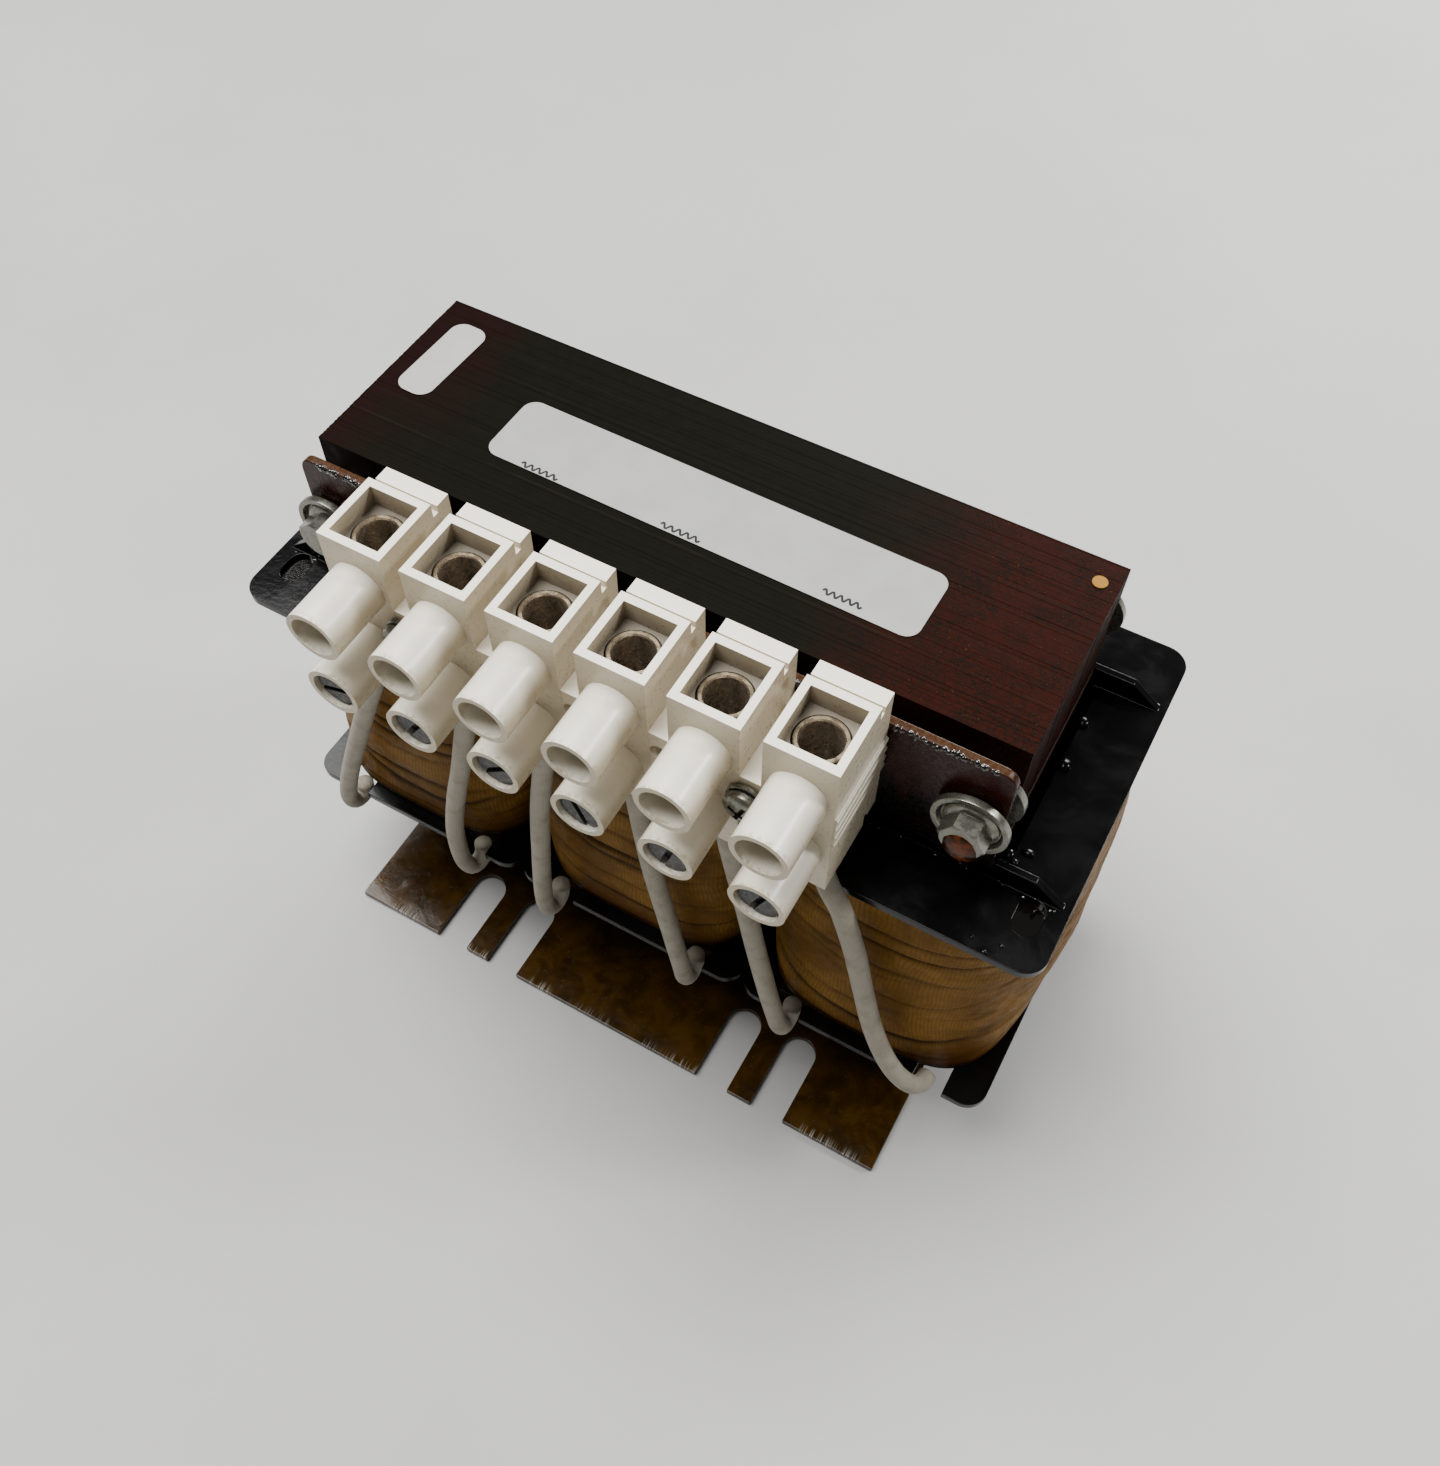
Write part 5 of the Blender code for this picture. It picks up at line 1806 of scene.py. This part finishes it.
@dataclass
class BracketPlate:
    """The plate that carries the terminal strip, with beads of varnish along its top edge."""

    corner: float = 3.0 * MM
    edge: float = 0.35 * MM
    hole: float = 5.4 * MM
    bolt_x: float = 70.7 * MM
    bolt_z: float = 126.62 * MM
    beads: int = 420
    bead_inset: float = 4 * MM
    bead_radius: Flat = (0.28, 0.66)
    bead_drop: float = 0.25
    bead_spread: float = 0.3

    def build(self) -> None:
        """Builds the plate and its beads."""
        low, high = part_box("terminal_bracket")
        half = (high.x - low.x) / 2
        height = high.z - low.z
        corner_x, corner_z = half - self.corner, height / 2 - self.corner
        outline = [(-half, -height / 2), (half, -height / 2)]
        outline += arc((corner_x, corner_z), self.corner, 0, 90)
        outline += arc((-corner_x, corner_z), self.corner, 90, 180)
        middle = (0, (low.y + high.y) / 2, (low.z + high.z) / 2)
        plate = Stock.plate(outline, high.y - low.y).place(middle, Facing.FRONT.value)
        for side in Side:
            x = side.value * self.bolt_x
            plate.cut(Stock.rod(self.hole, (x, low.y - MM, self.bolt_z), (x, high.y + MM, self.bolt_z), 32))
        mesh = plate.soften(self.edge, 3).mesh()
        fit("bracket_plate", mesh, Finishes.BRACKET, ["terminal_bracket"])
        self.bead_line(low, high)

    def bead_line(self, low: Vector, high: Vector) -> None:
        """Small drops of varnish that dried along the top edge of the plate's front.

        Args:
            low: The plate's lowest corner.
            high: Its highest corner.
        """
        chance = random.Random(5)
        drops = []
        for _ in range(self.beads):
            x = chance.uniform(low.x + self.bead_inset, high.x - self.bead_inset)
            z = high.z - (self.bead_drop + abs(chance.gauss(0, self.bead_spread))) * MM
            y = low.y + max(0.0, self.edge - (high.z - z) / 2)
            drops.append(Drop((x, y, z), chance.uniform(*self.bead_radius) * MM, (0, -1, 0.8), 0.8))
        fit("bracket_beads", drop_mesh(drops, 17), Finishes.GLOSS)


@dataclass(frozen=True)
class Drop:
    """A drop of varnish: its place, radius, the way it stands off the surface, and how high."""

    at: Point
    radius: float
    away: Point
    height: float = 0.5


def drop_mesh(drops: Sequence[Drop], seed: int) -> bpy.types.Mesh:
    """Builds uneven domes for drops of varnish.

    Args:
        drops: The drops.
        seed: Which uneven shapes they get.

    Returns:
        The mesh.
    """
    shape = bmesh.new()
    for number, drop in enumerate(drops):
        made = bmesh.ops.create_icosphere(shape, subdivisions=2, radius=drop.radius)
        turn = Vector((0, 0, 1)).rotation_difference(Vector(drop.away)).to_matrix().to_4x4()
        swell = 0.75 + 0.5 * hash_share(number, seed)
        squash = Matrix.Diagonal((swell, 1.0 / swell, drop.height, 1.0))
        for vert in made["verts"]:
            vert.co *= 1 + 0.18 * noise.noise(vert.co / drop.radius + Vector((number, seed, 0)))
        bmesh.ops.transform(shape, matrix=Matrix.Translation(drop.at) @ turn @ squash, verts=made["verts"])
    mesh = bpy.data.meshes.new("drops")
    shape.to_mesh(mesh)
    shape.free()
    mesh.shade_smooth()
    return mesh


@dataclass
class FootBrackets:
    """Two bent feet, each with four slots open at its edge."""

    length: float = 151.8 * MM
    reach: float = 56.1 * MM
    thickness: float = 1.9 * MM
    wall_top: float = 25.0 * MM
    wall_back: float = -23.85 * MM
    bend: float = 2.2 * MM
    slot_width: float = 9.0 * MM
    slot_length: float = 21.6 * MM
    slot_centres: tuple[float, float] = (31.4 * MM, 47.0 * MM)
    bolt_x: float = 70.7 * MM
    bolt_z: float = 16.94 * MM
    hole: float = 5.4 * MM
    edge: float = 0.3 * MM

    def build(self) -> None:
        """Builds the front foot and turns a copy of it to the back."""
        foot = self.foot()
        fit("foot_front", foot.copy().mesh(), Finishes.FOOT, ["foot_bracket_front"])
        fit("foot_rear", foot.place(degrees=(0, 0, 180)).mesh(), Finishes.FOOT, ["foot_bracket_rear"])

    def foot(self) -> Stock:
        """The bent strip with its slots and bolt holes.

        Returns:
            The workpiece.
        """
        wall_front = self.wall_back - self.thickness
        middle = (wall_front - self.bend, self.thickness + self.bend)
        outline = [(self.wall_back, self.wall_top), (wall_front, self.wall_top)]
        outline += arc(middle, self.bend, 0, -90, 8)
        outline += [(-self.reach, self.thickness), (-self.reach, 0.0)]
        outline += arc(middle, self.bend + self.thickness, -90, 0, 8)
        foot = Stock.plate(outline, self.length).place(degrees=(90, 0, 90))
        slot_end = -self.reach + self.slot_length - self.slot_width / 2
        half = self.slot_width / 2
        for centre in self.slot_centres:
            for x in (-centre, centre):
                slot = arc((x, slot_end), half, 0, 180, 20)
                slot += [(x - half, -self.reach - MM), (x + half, -self.reach - MM)]
                foot.cut(Stock.plate(slot, 4 * self.thickness).place((0, 0, self.thickness / 2)))
        for side in Side:
            x = side.value * self.bolt_x
            start, end = (x, self.wall_back + MM, self.bolt_z), (x, wall_front - MM, self.bolt_z)
            foot.cut(Stock.rod(self.hole, start, end, 32))
        return foot.soften(self.edge, 2)


@dataclass
class Fasteners:
    """The bolts through both yokes, with their nuts, washers and spacers."""

    shank: float = 4.8 * MM
    hexagon: float = 8.0 * MM
    hexagon_height: float = 4.7 * MM
    flange: float = 11.0 * MM
    flange_thickness: float = 1.0 * MM
    nut_height: float = 4.4 * MM
    washer: float = 15.0 * MM
    washer_thickness: float = 1.5 * MM
    dish: float = 1.1 * MM
    collar: float = 9.6 * MM
    collar_flange: float = 1.8 * MM
    hole: float = 5.4 * MM
    thread_pitch: float = 0.8 * MM
    thread_length: float = 12.0 * MM
    thread_depth: float = 0.4 * MM
    chamfer: float = 0.7 * MM
    hexagon_edge: float = 0.14 * MM
    ring_edge: float = 0.16 * MM
    play: float = 0.3 * MM
    turns: tuple[tuple[str, float], ...] = (("yoke", 17.0), ("foot", 4.0))
    side_turn: float = 9.0

    def build(self) -> None:
        """Builds the fasteners at both ends of both yokes."""
        for side in Side:
            name = side.name.lower()
            for kind, turn in self.turns:
                self.bolt(f"{kind}_bolt_{name}", turn + self.side_turn * side.value)
                self.nut(f"{kind}_nut_{name}", turn * side.value)
            self.ring(f"yoke_washer_front_{name}", Facing.FRONT, self.dished_profile())
            self.ring(f"yoke_washer_rear_{name}", Facing.BACK, self.flat_profile())
            self.ring(f"bracket_spacer_{name}", Facing.FRONT, self.spacer_profile(f"bracket_spacer_{name}"))

    def seat(self, node: str, facing: Facing, below: float = 0.0) -> Point:
        """Where a piece's z = 0 lies, from its solid's box.

        Args:
            node: The solid.
            facing: Which way the piece's top points.
            below: How far the piece reaches below its z = 0.

        Returns:
            The place.
        """
        low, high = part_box(node)
        y = high.y - below if facing is Facing.FRONT else low.y + below
        return ((low.x + high.x) / 2, y, (low.z + high.z) / 2)

    def hexagon_stock(self, low: float, high: float, turn: float) -> Stock:
        """A hexagonal prism whose upper corners are turned off.

        Args:
            low: Where it starts along Z.
            high: Where it ends.
            turn: How far it is turned, in degrees.

        Returns:
            The workpiece.
        """
        across = self.hexagon / math.cos(math.radians(30))
        prism = Stock.rod(across, (0, 0, low), (0, 0, high), 6).place(degrees=(0, 0, turn))
        skirt = across / 2 + self.chamfer
        profile = [
            (0.0, high), (self.hexagon / 2, high), (skirt, high - self.chamfer * 1.05), (skirt, low - MM),
            (0.0, low - MM),
        ]
        return prism.combine("INTERSECT", [Stock.turned(profile, 60)]).soften(self.hexagon_edge, 2, 25)

    def bolt(self, node: str, turn: float) -> None:
        """A flanged hexagon bolt whose tail is threaded.

        Args:
            node: The solid it stands for.
            turn: How far its head is turned, in degrees.
        """
        low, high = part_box(node)
        length = high.y - low.y - self.hexagon_height
        radius, shank, edge = self.flange / 2, self.shank / 2, 0.4 * MM
        profile = [
            (0.0, self.flange_thickness), (radius - 1.2 * MM, self.flange_thickness), (radius - 0.2 * MM, edge),
            (radius, edge / 2), (radius, 0.0), (shank, 0.0), (shank, self.thread_length - length),
        ]
        count = int(self.thread_length / self.thread_pitch) * 2
        for number in range(1, count):
            z = self.thread_length - length - number * self.thread_pitch / 2
            profile.append((shank - (self.thread_depth if number % 2 else 0.0), z))
        profile += [(shank - 0.6 * MM, -length), (0.0, -length)]
        head = self.hexagon_stock(self.flange_thickness / 2, self.hexagon_height, turn)
        bolt = merged([Stock.turned(profile, 48), head])
        bolt.place(self.seat(node, Facing.FRONT, length), Facing.FRONT.value)
        fit(node.replace("bolt", "hex_bolt"), bolt.mesh(), Finishes.ZINC, [node])

    def nut(self, node: str, turn: float) -> None:
        """A hexagon nut.

        Args:
            node: The solid it stands for.
            turn: How far it is turned, in degrees.
        """
        nut = self.hexagon_stock(0.0, self.nut_height, turn)
        nut.cut(Stock.rod(self.hole, (0, 0, -MM), (0, 0, self.nut_height + MM), 32))
        nut.place(self.seat(node, Facing.BACK), Facing.BACK.value)
        fit(node.replace("nut", "hex_nut"), nut.mesh(), Finishes.ZINC, [node])

    def ring(self, node: str, facing: Facing, profile: list[Flat]) -> None:
        """A turned ring, such as a washer or spacer.

        Args:
            node: The solid it stands for.
            facing: Which way its top points.
            profile: Its profile, as (radius, z).
        """
        ring = Stock.turned(profile, 64, ring=True).soften(self.ring_edge, 2, 30)
        ring.place(self.seat(node, facing), facing.value)
        fit(f"{node}_ring", ring.mesh(), Finishes.ZINC, [node])

    def dished_profile(self) -> list[Flat]:
        """A washer whose outer part is pressed up round the bolt's flange.

        Returns:
            Its profile, as (radius, z).
        """
        inner, outer, thick = self.hole / 2, self.washer / 2, self.washer_thickness
        seat = self.flange / 2 + self.play
        rim = seat + self.dish / 2
        return [
            (inner, 0.0), (seat, 0.0), (rim, self.dish), (outer, self.dish), (outer, thick + self.dish),
            (rim, thick + self.dish), (seat, thick), (inner, thick),
        ]

    def flat_profile(self) -> list[Flat]:
        """A plain washer."""
        inner, outer, thick = self.hole / 2, self.washer / 2, self.washer_thickness
        return [(inner, 0.0), (outer, 0.0), (outer, thick), (inner, thick)]

    def spacer_profile(self, node: str) -> list[Flat]:
        """A collar with a broad flange at its foot.

        Args:
            node: The solid it stands for.

        Returns:
            Its profile, as (radius, z).
        """
        low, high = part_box(node)
        inner, outer, collar = self.hole / 2, self.washer / 2, self.collar / 2
        return [
            (inner, 0.0), (outer, 0.0), (outer, self.collar_flange), (collar, self.collar_flange),
            (collar, high.y - low.y), (inner, high.y - low.y),
        ]


@dataclass
class Leads:
    """Sleeved leads from the clamps to the notches in the bottom flanges."""

    strip: TerminalStrip
    diameter: float = 4.5 * MM
    sides: int = 22
    rings: int = 110
    pitch: float = 61.9 * MM
    notch_x: float = 18.0 * MM
    flange_front: float = -43.34 * MM
    bottom: float = 32.48 * MM
    start_drop: float = 5.0 * MM
    snug: float = 0.985
    squeeze: float = 0.05
    routes: dict[int, list[Point]] = field(default_factory=lambda: {
        1: [(0.062, -1.1, -0.004), (0.183, -3.1, 0.071), (0.270, -3.3, 0.156), (0.437, -3.2, 0.326),
            (0.608, -3.1, 0.508), (0.766, -3.0, 0.678), (0.911, -3.0, 0.848), (0.983, -2.9, 0.957),
            (0.991, -2.1, 1.011), (0.986, -0.1, 1.028), (0.977, 2.0, 1.016), (0.974, 2.6, 0.979)],
        2: [(0.039, -1.1, -0.004), (0.158, -3.1, 0.071), (0.266, -3.2, 0.156), (0.552, -3.1, 0.399),
            (0.803, -3.1, 0.593), (0.994, -3.1, 0.775), (1.060, -3.0, 0.909), (1.042, -2.9, 1.000),
            (0.988, -1.7, 1.050), (0.940, 0.5, 1.052), (0.916, 2.2, 1.023), (0.910, 2.6, 0.979)],
        3: [(0.073, -1.1, -0.004), (0.229, -3.1, 0.071), (0.374, -3.2, 0.156), (0.754, -3.1, 0.399),
            (1.000, -3.1, 0.642), (1.179, -3.1, 0.836), (1.257, -3.0, 0.957), (1.246, -2.7, 1.018),
            (1.212, -1.3, 1.047), (1.179, 0.7, 1.045), (1.156, 2.2, 1.019), (1.145, 2.6, 0.979)],
        4: [(0.017, -1.1, -0.004), (0.073, -3.1, 0.071), (0.117, -3.2, 0.156), (0.307, -3.1, 0.399),
            (0.598, -3.1, 0.617), (0.866, -3.1, 0.812), (1.022, -3.0, 0.933), (1.078, -2.7, 0.999),
            (1.089, -1.3, 1.034), (1.089, 0.7, 1.037), (1.089, 2.2, 1.016), (1.089, 2.6, 0.979)],
        5: [(0.063, -1.1, -0.004), (0.170, -3.1, 0.071), (0.242, -3.2, 0.156), (0.427, -3.1, 0.375),
            (0.612, -3.1, 0.593), (0.803, -3.1, 0.799), (0.934, -3.0, 0.926), (1.000, -2.7, 0.994),
            (1.030, -1.3, 1.035), (1.042, 0.7, 1.040), (1.048, 2.2, 1.018), (1.048, 2.6, 0.979)],
        6: [(0.056, -0.9, -0.009), (0.172, -3.0, 0.069), (0.276, -3.3, 0.156), (0.391, -3.2, 0.326),
            (0.481, -3.2, 0.496), (0.579, -3.3, 0.666), (0.691, -3.5, 0.797), (0.807, -3.5, 0.884),
            (0.911, -2.5, 0.938), (0.962, -0.3, 0.967), (0.974, 1.7, 0.977), (0.977, 2.6, 0.979)],
    })

    def build(self) -> None:
        """Builds the six leads."""
        for label, route in self.routes.items():
            points = smooth_route(self.corners(label, route), self.rings)
            fit(f"sleeve_{label}", self.tube(points, label), Finishes.SLEEVE, [f"lead_{label}"])

    def corners(self, label: int, route: list[Point]) -> list[Vector]:
        """A route's own points in the part's frame.

        Args:
            label: The lead's number, from 1 at the left.
            route: Shares of the way across, millimetres behind the flange, and shares of the fall.

        Returns:
            The points, from the clamp down.
        """
        x = self.strip.pole_x(label - 1)
        leg, side = divmod(label - 1, 2)
        way = (leg - 1) * self.pitch + (2 * side - 1) * self.notch_x - x
        top = self.strip.middle_z - self.strip.height / 2
        points = [
            Vector((x, self.strip.centre_y, self.strip.middle_z - self.start_drop)),
            Vector((x, self.strip.centre_y, self.strip.middle_z - self.strip.height / 3)),
        ]
        for across, behind, down in route:
            z = top - down * (top - self.bottom)
            points.append(Vector((x + across * way, self.flange_front + behind * MM, z)))
        return points

    def tube(self, points: list[Vector], label: int) -> bpy.types.Mesh:
        """A slightly flattened tube along a route, with running coordinates for the braid.

        Args:
            points: The route.
            label: The lead's number.

        Returns:
            The mesh.
        """
        verts = []
        faces = []
        runs = []
        along = 0.0
        across = Vector((1, 0, 0))
        for number, point in enumerate(points):
            before = points[max(number - 1, 0)]
            after = points[min(number + 1, len(points) - 1)]
            direction = (after - before).normalized()
            across = (across - across.dot(direction) * direction).normalized()
            other = direction.cross(across)
            bend = 1 - self.squeeze * noise.noise(Vector((number * 0.09, label, 0)))
            along += (point - before).length / MM
            for i in range(self.sides):
                angle = math.tau * i / self.sides
                radius = self.diameter / 2 * self.snug
                sideways = across * math.cos(angle) * radius * bend
                verts.append(point + sideways + other * math.sin(angle) * radius * (2 - bend) * 0.98)
            runs.append(along)
        for row in range(len(points) - 1):
            for i in range(self.sides):
                j = (i + 1) % self.sides
                low, high = row * self.sides, (row + 1) * self.sides
                faces.append((low + i, low + j, high + j, high + i))
        ends = [list(reversed(range(self.sides))), list(range(len(verts) - self.sides, len(verts)))]
        mesh = bpy.data.meshes.new("sleeve")
        mesh.from_pydata(verts, [], faces + ends)
        layer = mesh.uv_layers.new(name="run")
        for face in mesh.polygons:
            seam = face.index % self.sides == self.sides - 1
            for loop in face.loop_indices:
                row, i = divmod(mesh.loops[loop].vertex_index, self.sides)
                turn = 1.0 if seam and i == 0 else i / self.sides
                layer.data[loop].uv = (turn, runs[row])
        mesh.shade_smooth()
        return mesh


@dataclass
class Labels:
    """Two blank labels, three plain coil squiggles and a dot of paint on top of the yoke."""

    top: float = 141.86 * MM
    film: float = 0.12 * MM
    film_edge: float = 0.03 * MM
    corner: float = 3.0
    rating_at: Flat = (1.4, -2.7)
    rating_size: Flat = (94.0, 16.8)
    rating_turn: float = -0.7
    tag_at: Flat = (-68.0, 7.0)
    tag_size: Flat = (8.2, 22.6)
    tag_turn: float = -2.0
    line: float = 0.46
    swing: float = 0.55
    waves: float = 5.0
    turn: float = 0.012
    steps: int = 96
    dot_at: Flat = (72.3, 17.7)
    dot_radius: float = 1.5
    dot_thickness: float = 0.2 * MM
    squiggles: tuple[tuple[float, float, float], ...] = (
        (-32.8, -9.8, 8.4), (-1.0, -10.0, 8.6), (32.8, -9.3, 8.0),
    )

    def build(self) -> None:
        """Builds the labels, the squiggles and the dot."""
        self.sticker("rating_label", self.rating_at, self.rating_size, self.rating_turn, Finishes.LABEL)
        self.sticker("tag_label", self.tag_at, self.tag_size, self.tag_turn, Finishes.TAG)
        self.squiggle_lines()
        outline = arc((0, 0), self.dot_radius * MM, 0, 360, 32)[:-1]
        dot = Stock.plate(outline, self.dot_thickness).soften(0.06 * MM)
        dot.place((self.dot_at[0] * MM, self.dot_at[1] * MM, self.top + 0.08 * MM))
        fit("paint_dot", dot.mesh(), Finishes.DOT)

    def sticker(self, name: str, at: Flat, size: Flat, turn: float, finish: Finish) -> None:
        """A thin label with round corners.

        Args:
            name: The piece's name.
            at: Its middle, in millimetres.
            size: Its length and depth, in millimetres.
            turn: How far it is turned, in degrees.
            finish: Its finish.
        """
        outline = rounded_rectangle(size[0] * MM, size[1] * MM, self.corner * MM, 10)
        sheet = Stock.plate(outline, self.film).soften(self.film_edge)
        sheet.place((at[0] * MM, at[1] * MM, self.top + self.film / 2), (0, 0, turn))
        fit(name, sheet.mesh(), finish)

    def squiggle_lines(self) -> None:
        """Plain wavy lines, the usual sign for a coil, printed as flat ribbons."""
        verts = []
        faces = []
        z = self.top + self.film + 0.02 * MM
        for x, y, length in self.squiggles:
            first = len(verts)
            for i in range(self.steps + 1):
                share = i / self.steps
                wave = math.sin(share * math.tau * self.waves)
                slope = math.cos(share * math.tau * self.waves) * self.swing * math.tau * self.waves / length
                aside = Vector((-slope, 1.0)).normalized() * self.line / 2
                px = x + (share - 0.5) * length
                py = y + self.swing * wave - self.turn * (px - x)
                verts.append(((px - aside.x) * MM, (py - aside.y) * MM, z))
                verts.append(((px + aside.x) * MM, (py + aside.y) * MM, z))
            faces += [
                (first + 2 * i, first + 2 * i + 2, first + 2 * i + 3, first + 2 * i + 1)
                for i in range(self.steps)
            ]
        mesh = bpy.data.meshes.new("squiggles")
        mesh.from_pydata(verts, [], faces)
        fit("coil_squiggles", mesh, Finishes.INK)


@dataclass
class VarnishDrops:
    """Drops and runs of varnish on the flanges and on a bolt's head."""

    flange_top: float = 105.18
    pitch: float = 61.9
    rib_y: float = 27.3
    middle_y: float = -0.94
    bumps: tuple[Point, ...] = (
        (78.7, 14.2, 1.7), (79.2, 2.6, 1.6), (77.6, -21.5, 1.3), (80.7, -19.5, 1.2), (79.2, -22.6, 0.9),
        (82.6, -24.0, 1.0), (81.6, -42.6, 0.6), (78.4, -40.8, 0.5), (84.0, -39.9, 0.5), (86.5, -30.2, 0.6),
    )
    scatter: int = 26
    scatter_reach: float = 28.0
    scatter_spread: float = 0.35
    scatter_radius: Flat = (0.2, 0.6)
    slot_x: float = 24.2
    slot_y: float = -32.13
    slot_radius: float = 2.7
    slot_half: float = 1.4
    fill_depth: float = 1.35
    fill_thickness: float = 0.3 * MM
    bolt_at: Flat = (70.8, 125.3)
    bolt_drop: float = 3.7

    def build(self) -> None:
        """Builds the drops by finish."""
        z = self.flange_top * MM
        bumps = [Drop((x * MM, y * MM, z), radius * MM, (0, 0, 1), 0.55) for x, y, radius in self.bumps]
        fit("flange_bumps", drop_mesh(bumps, 3), Finishes.BLACK)
        drops = []
        chance = random.Random(11)
        for leg in Leg:
            for _ in range(self.scatter):
                x = leg.value * self.pitch + chance.uniform(-self.scatter_reach, self.scatter_reach)
                y = chance.choice((-1, 1)) * self.rib_y + chance.gauss(self.middle_y, self.scatter_spread)
                drops.append(Drop((x * MM, y * MM, z), chance.uniform(*self.scatter_radius) * MM, (0, 0, 1), 0.5))
        fit("flange_drops", drop_mesh(drops, 3), Finishes.GLOSS)
        self.slot_fills()
        low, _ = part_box("yoke_bolt_right")
        at = (self.bolt_at[0] * MM, low.y + 0.1 * MM, self.bolt_at[1] * MM)
        fit("bolt_drop", drop_mesh([Drop(at, self.bolt_drop * MM, (0, -1, 0), 0.2)], 8), Finishes.AMBER)

    def slot_fills(self) -> None:
        """Thin black glossy sheets that close the slots of the top flanges a little below their rims."""
        pools = []
        for leg in Leg:
            for side in Side:
                x = leg.value * self.pitch + side.value * self.slot_x
                half, radius = self.slot_half * MM, self.slot_radius * MM
                outline = arc((0, half), radius, 0, 180, 12) + arc((0, -half), radius, 180, 360, 12)
                pool = Stock.plate(outline, self.fill_thickness)
                pools.append(pool.place((x * MM, self.slot_y * MM, (self.flange_top - self.fill_depth) * MM)))
        fit("slot_fills", merged(pools).mesh(), Finishes.GLOSS)


@dataclass(frozen=True)
class Lamp:
    """A large soft light that is far away: its direction, how wide it looks in degrees, and its strength."""

    name: str
    towards: Point
    spread: float
    strength: float
    colour: Colour

    def hang(self) -> None:
        """Puts the light into the scene."""
        data = bpy.data.lights.new(self.name, "SUN")
        data.angle = math.radians(self.spread)
        data.energy = self.strength
        data.color = self.colour
        lamp = bpy.data.objects.new(self.name, data)
        lamp.rotation_euler = Vector(self.towards).to_track_quat("Z", "Y").to_euler()
        bpy.context.scene.collection.objects.link(lamp)


@dataclass
class Studio:
    """A pale floor, soft lights and the camera at the photograph's place."""

    eye: Point = (93.2 * MM, -163.2 * MM, 342.6 * MM)
    ahead: Point = (-0.2706, 0.4858, -0.831)
    above: Point = (-0.4101, 0.7235, 0.556)
    focal_pixels: float = 1415.0
    image_height: float = 1466.0
    sensor: float = 36.0
    clip_start: float = 0.01
    surround: float = 0.11
    surround_tone: Colour = (0.86, 0.88, 0.9)
    floor_reach: float = 2.5
    lamps: tuple[Lamp, ...] = (
        Lamp("ceiling", (-0.4, 0.02, 1.0), 46.0, 6.0, (1.0, 0.99, 0.97)),
        Lamp("window", (0.65, 0.486, 0.585), 12.0, 1.6, (1.0, 0.99, 0.975)),
        Lamp("behind", (0.02, 0.94, 0.32), 30.0, 4.2, (1.0, 0.99, 0.98)),
    )

    def build(self) -> None:
        """Sets up the whole studio."""
        self.floor()
        self.world()
        for lamp in self.lamps:
            lamp.hang()
        self.camera()

    def floor(self) -> None:
        """A wide board under the reactor."""
        mesh = bpy.data.meshes.new("floor")
        half = self.floor_reach
        corners = [(-half, -half, 0), (half, -half, 0), (half, half, 0), (-half, half, 0)]
        mesh.from_pydata(corners, [], [(0, 1, 2, 3)])
        mesh.materials.append(Finishes.FLOOR.material())
        board = bpy.data.objects.new("floor", mesh)
        bpy.context.scene.collection.objects.link(board)

    def world(self) -> None:
        """An even grey surround."""
        world = bpy.data.worlds.new("surround")
        world.use_nodes = True
        background = world.node_tree.nodes["Background"]
        background.inputs["Color"].default_value = (*self.surround_tone, 1.0)
        background.inputs["Strength"].default_value = self.surround
        bpy.context.scene.world = world

    def camera(self) -> None:
        """The camera, from its place, its direction and its focal length in pixels."""
        data = bpy.data.cameras.new("camera")
        data.sensor_width = self.sensor
        data.lens = self.focal_pixels / self.image_height * self.sensor
        data.clip_start = self.clip_start
        camera = bpy.data.objects.new("camera", data)
        ahead = Vector(self.ahead).normalized()
        right = ahead.cross(Vector(self.above)).normalized()
        above = right.cross(ahead)
        turn = Matrix((right, above, -ahead)).transposed().to_4x4()
        camera.matrix_world = Matrix.Translation(self.eye) @ turn
        bpy.context.scene.collection.objects.link(camera)
        bpy.context.scene.camera = camera


def main() -> None:
    """Builds the studio and then the reactor, from the core outwards."""
    logging.basicConfig(level=logging.INFO, format="%(name)s: %(message)s")
    strip = TerminalStrip()
    builders = (
        Studio(), LaminatedCore(), Bobbins(), WrappedCoils(), strip, Clamps(strip), StripScrews(strip),
        BracketPlate(), FootBrackets(), Fasteners(), Leads(strip), Labels(), VarnishDrops(),
    )
    for builder in builders:
        log.info("building %s", type(builder).__name__)
        builder.build()


if __name__ == "__main__":
    main()
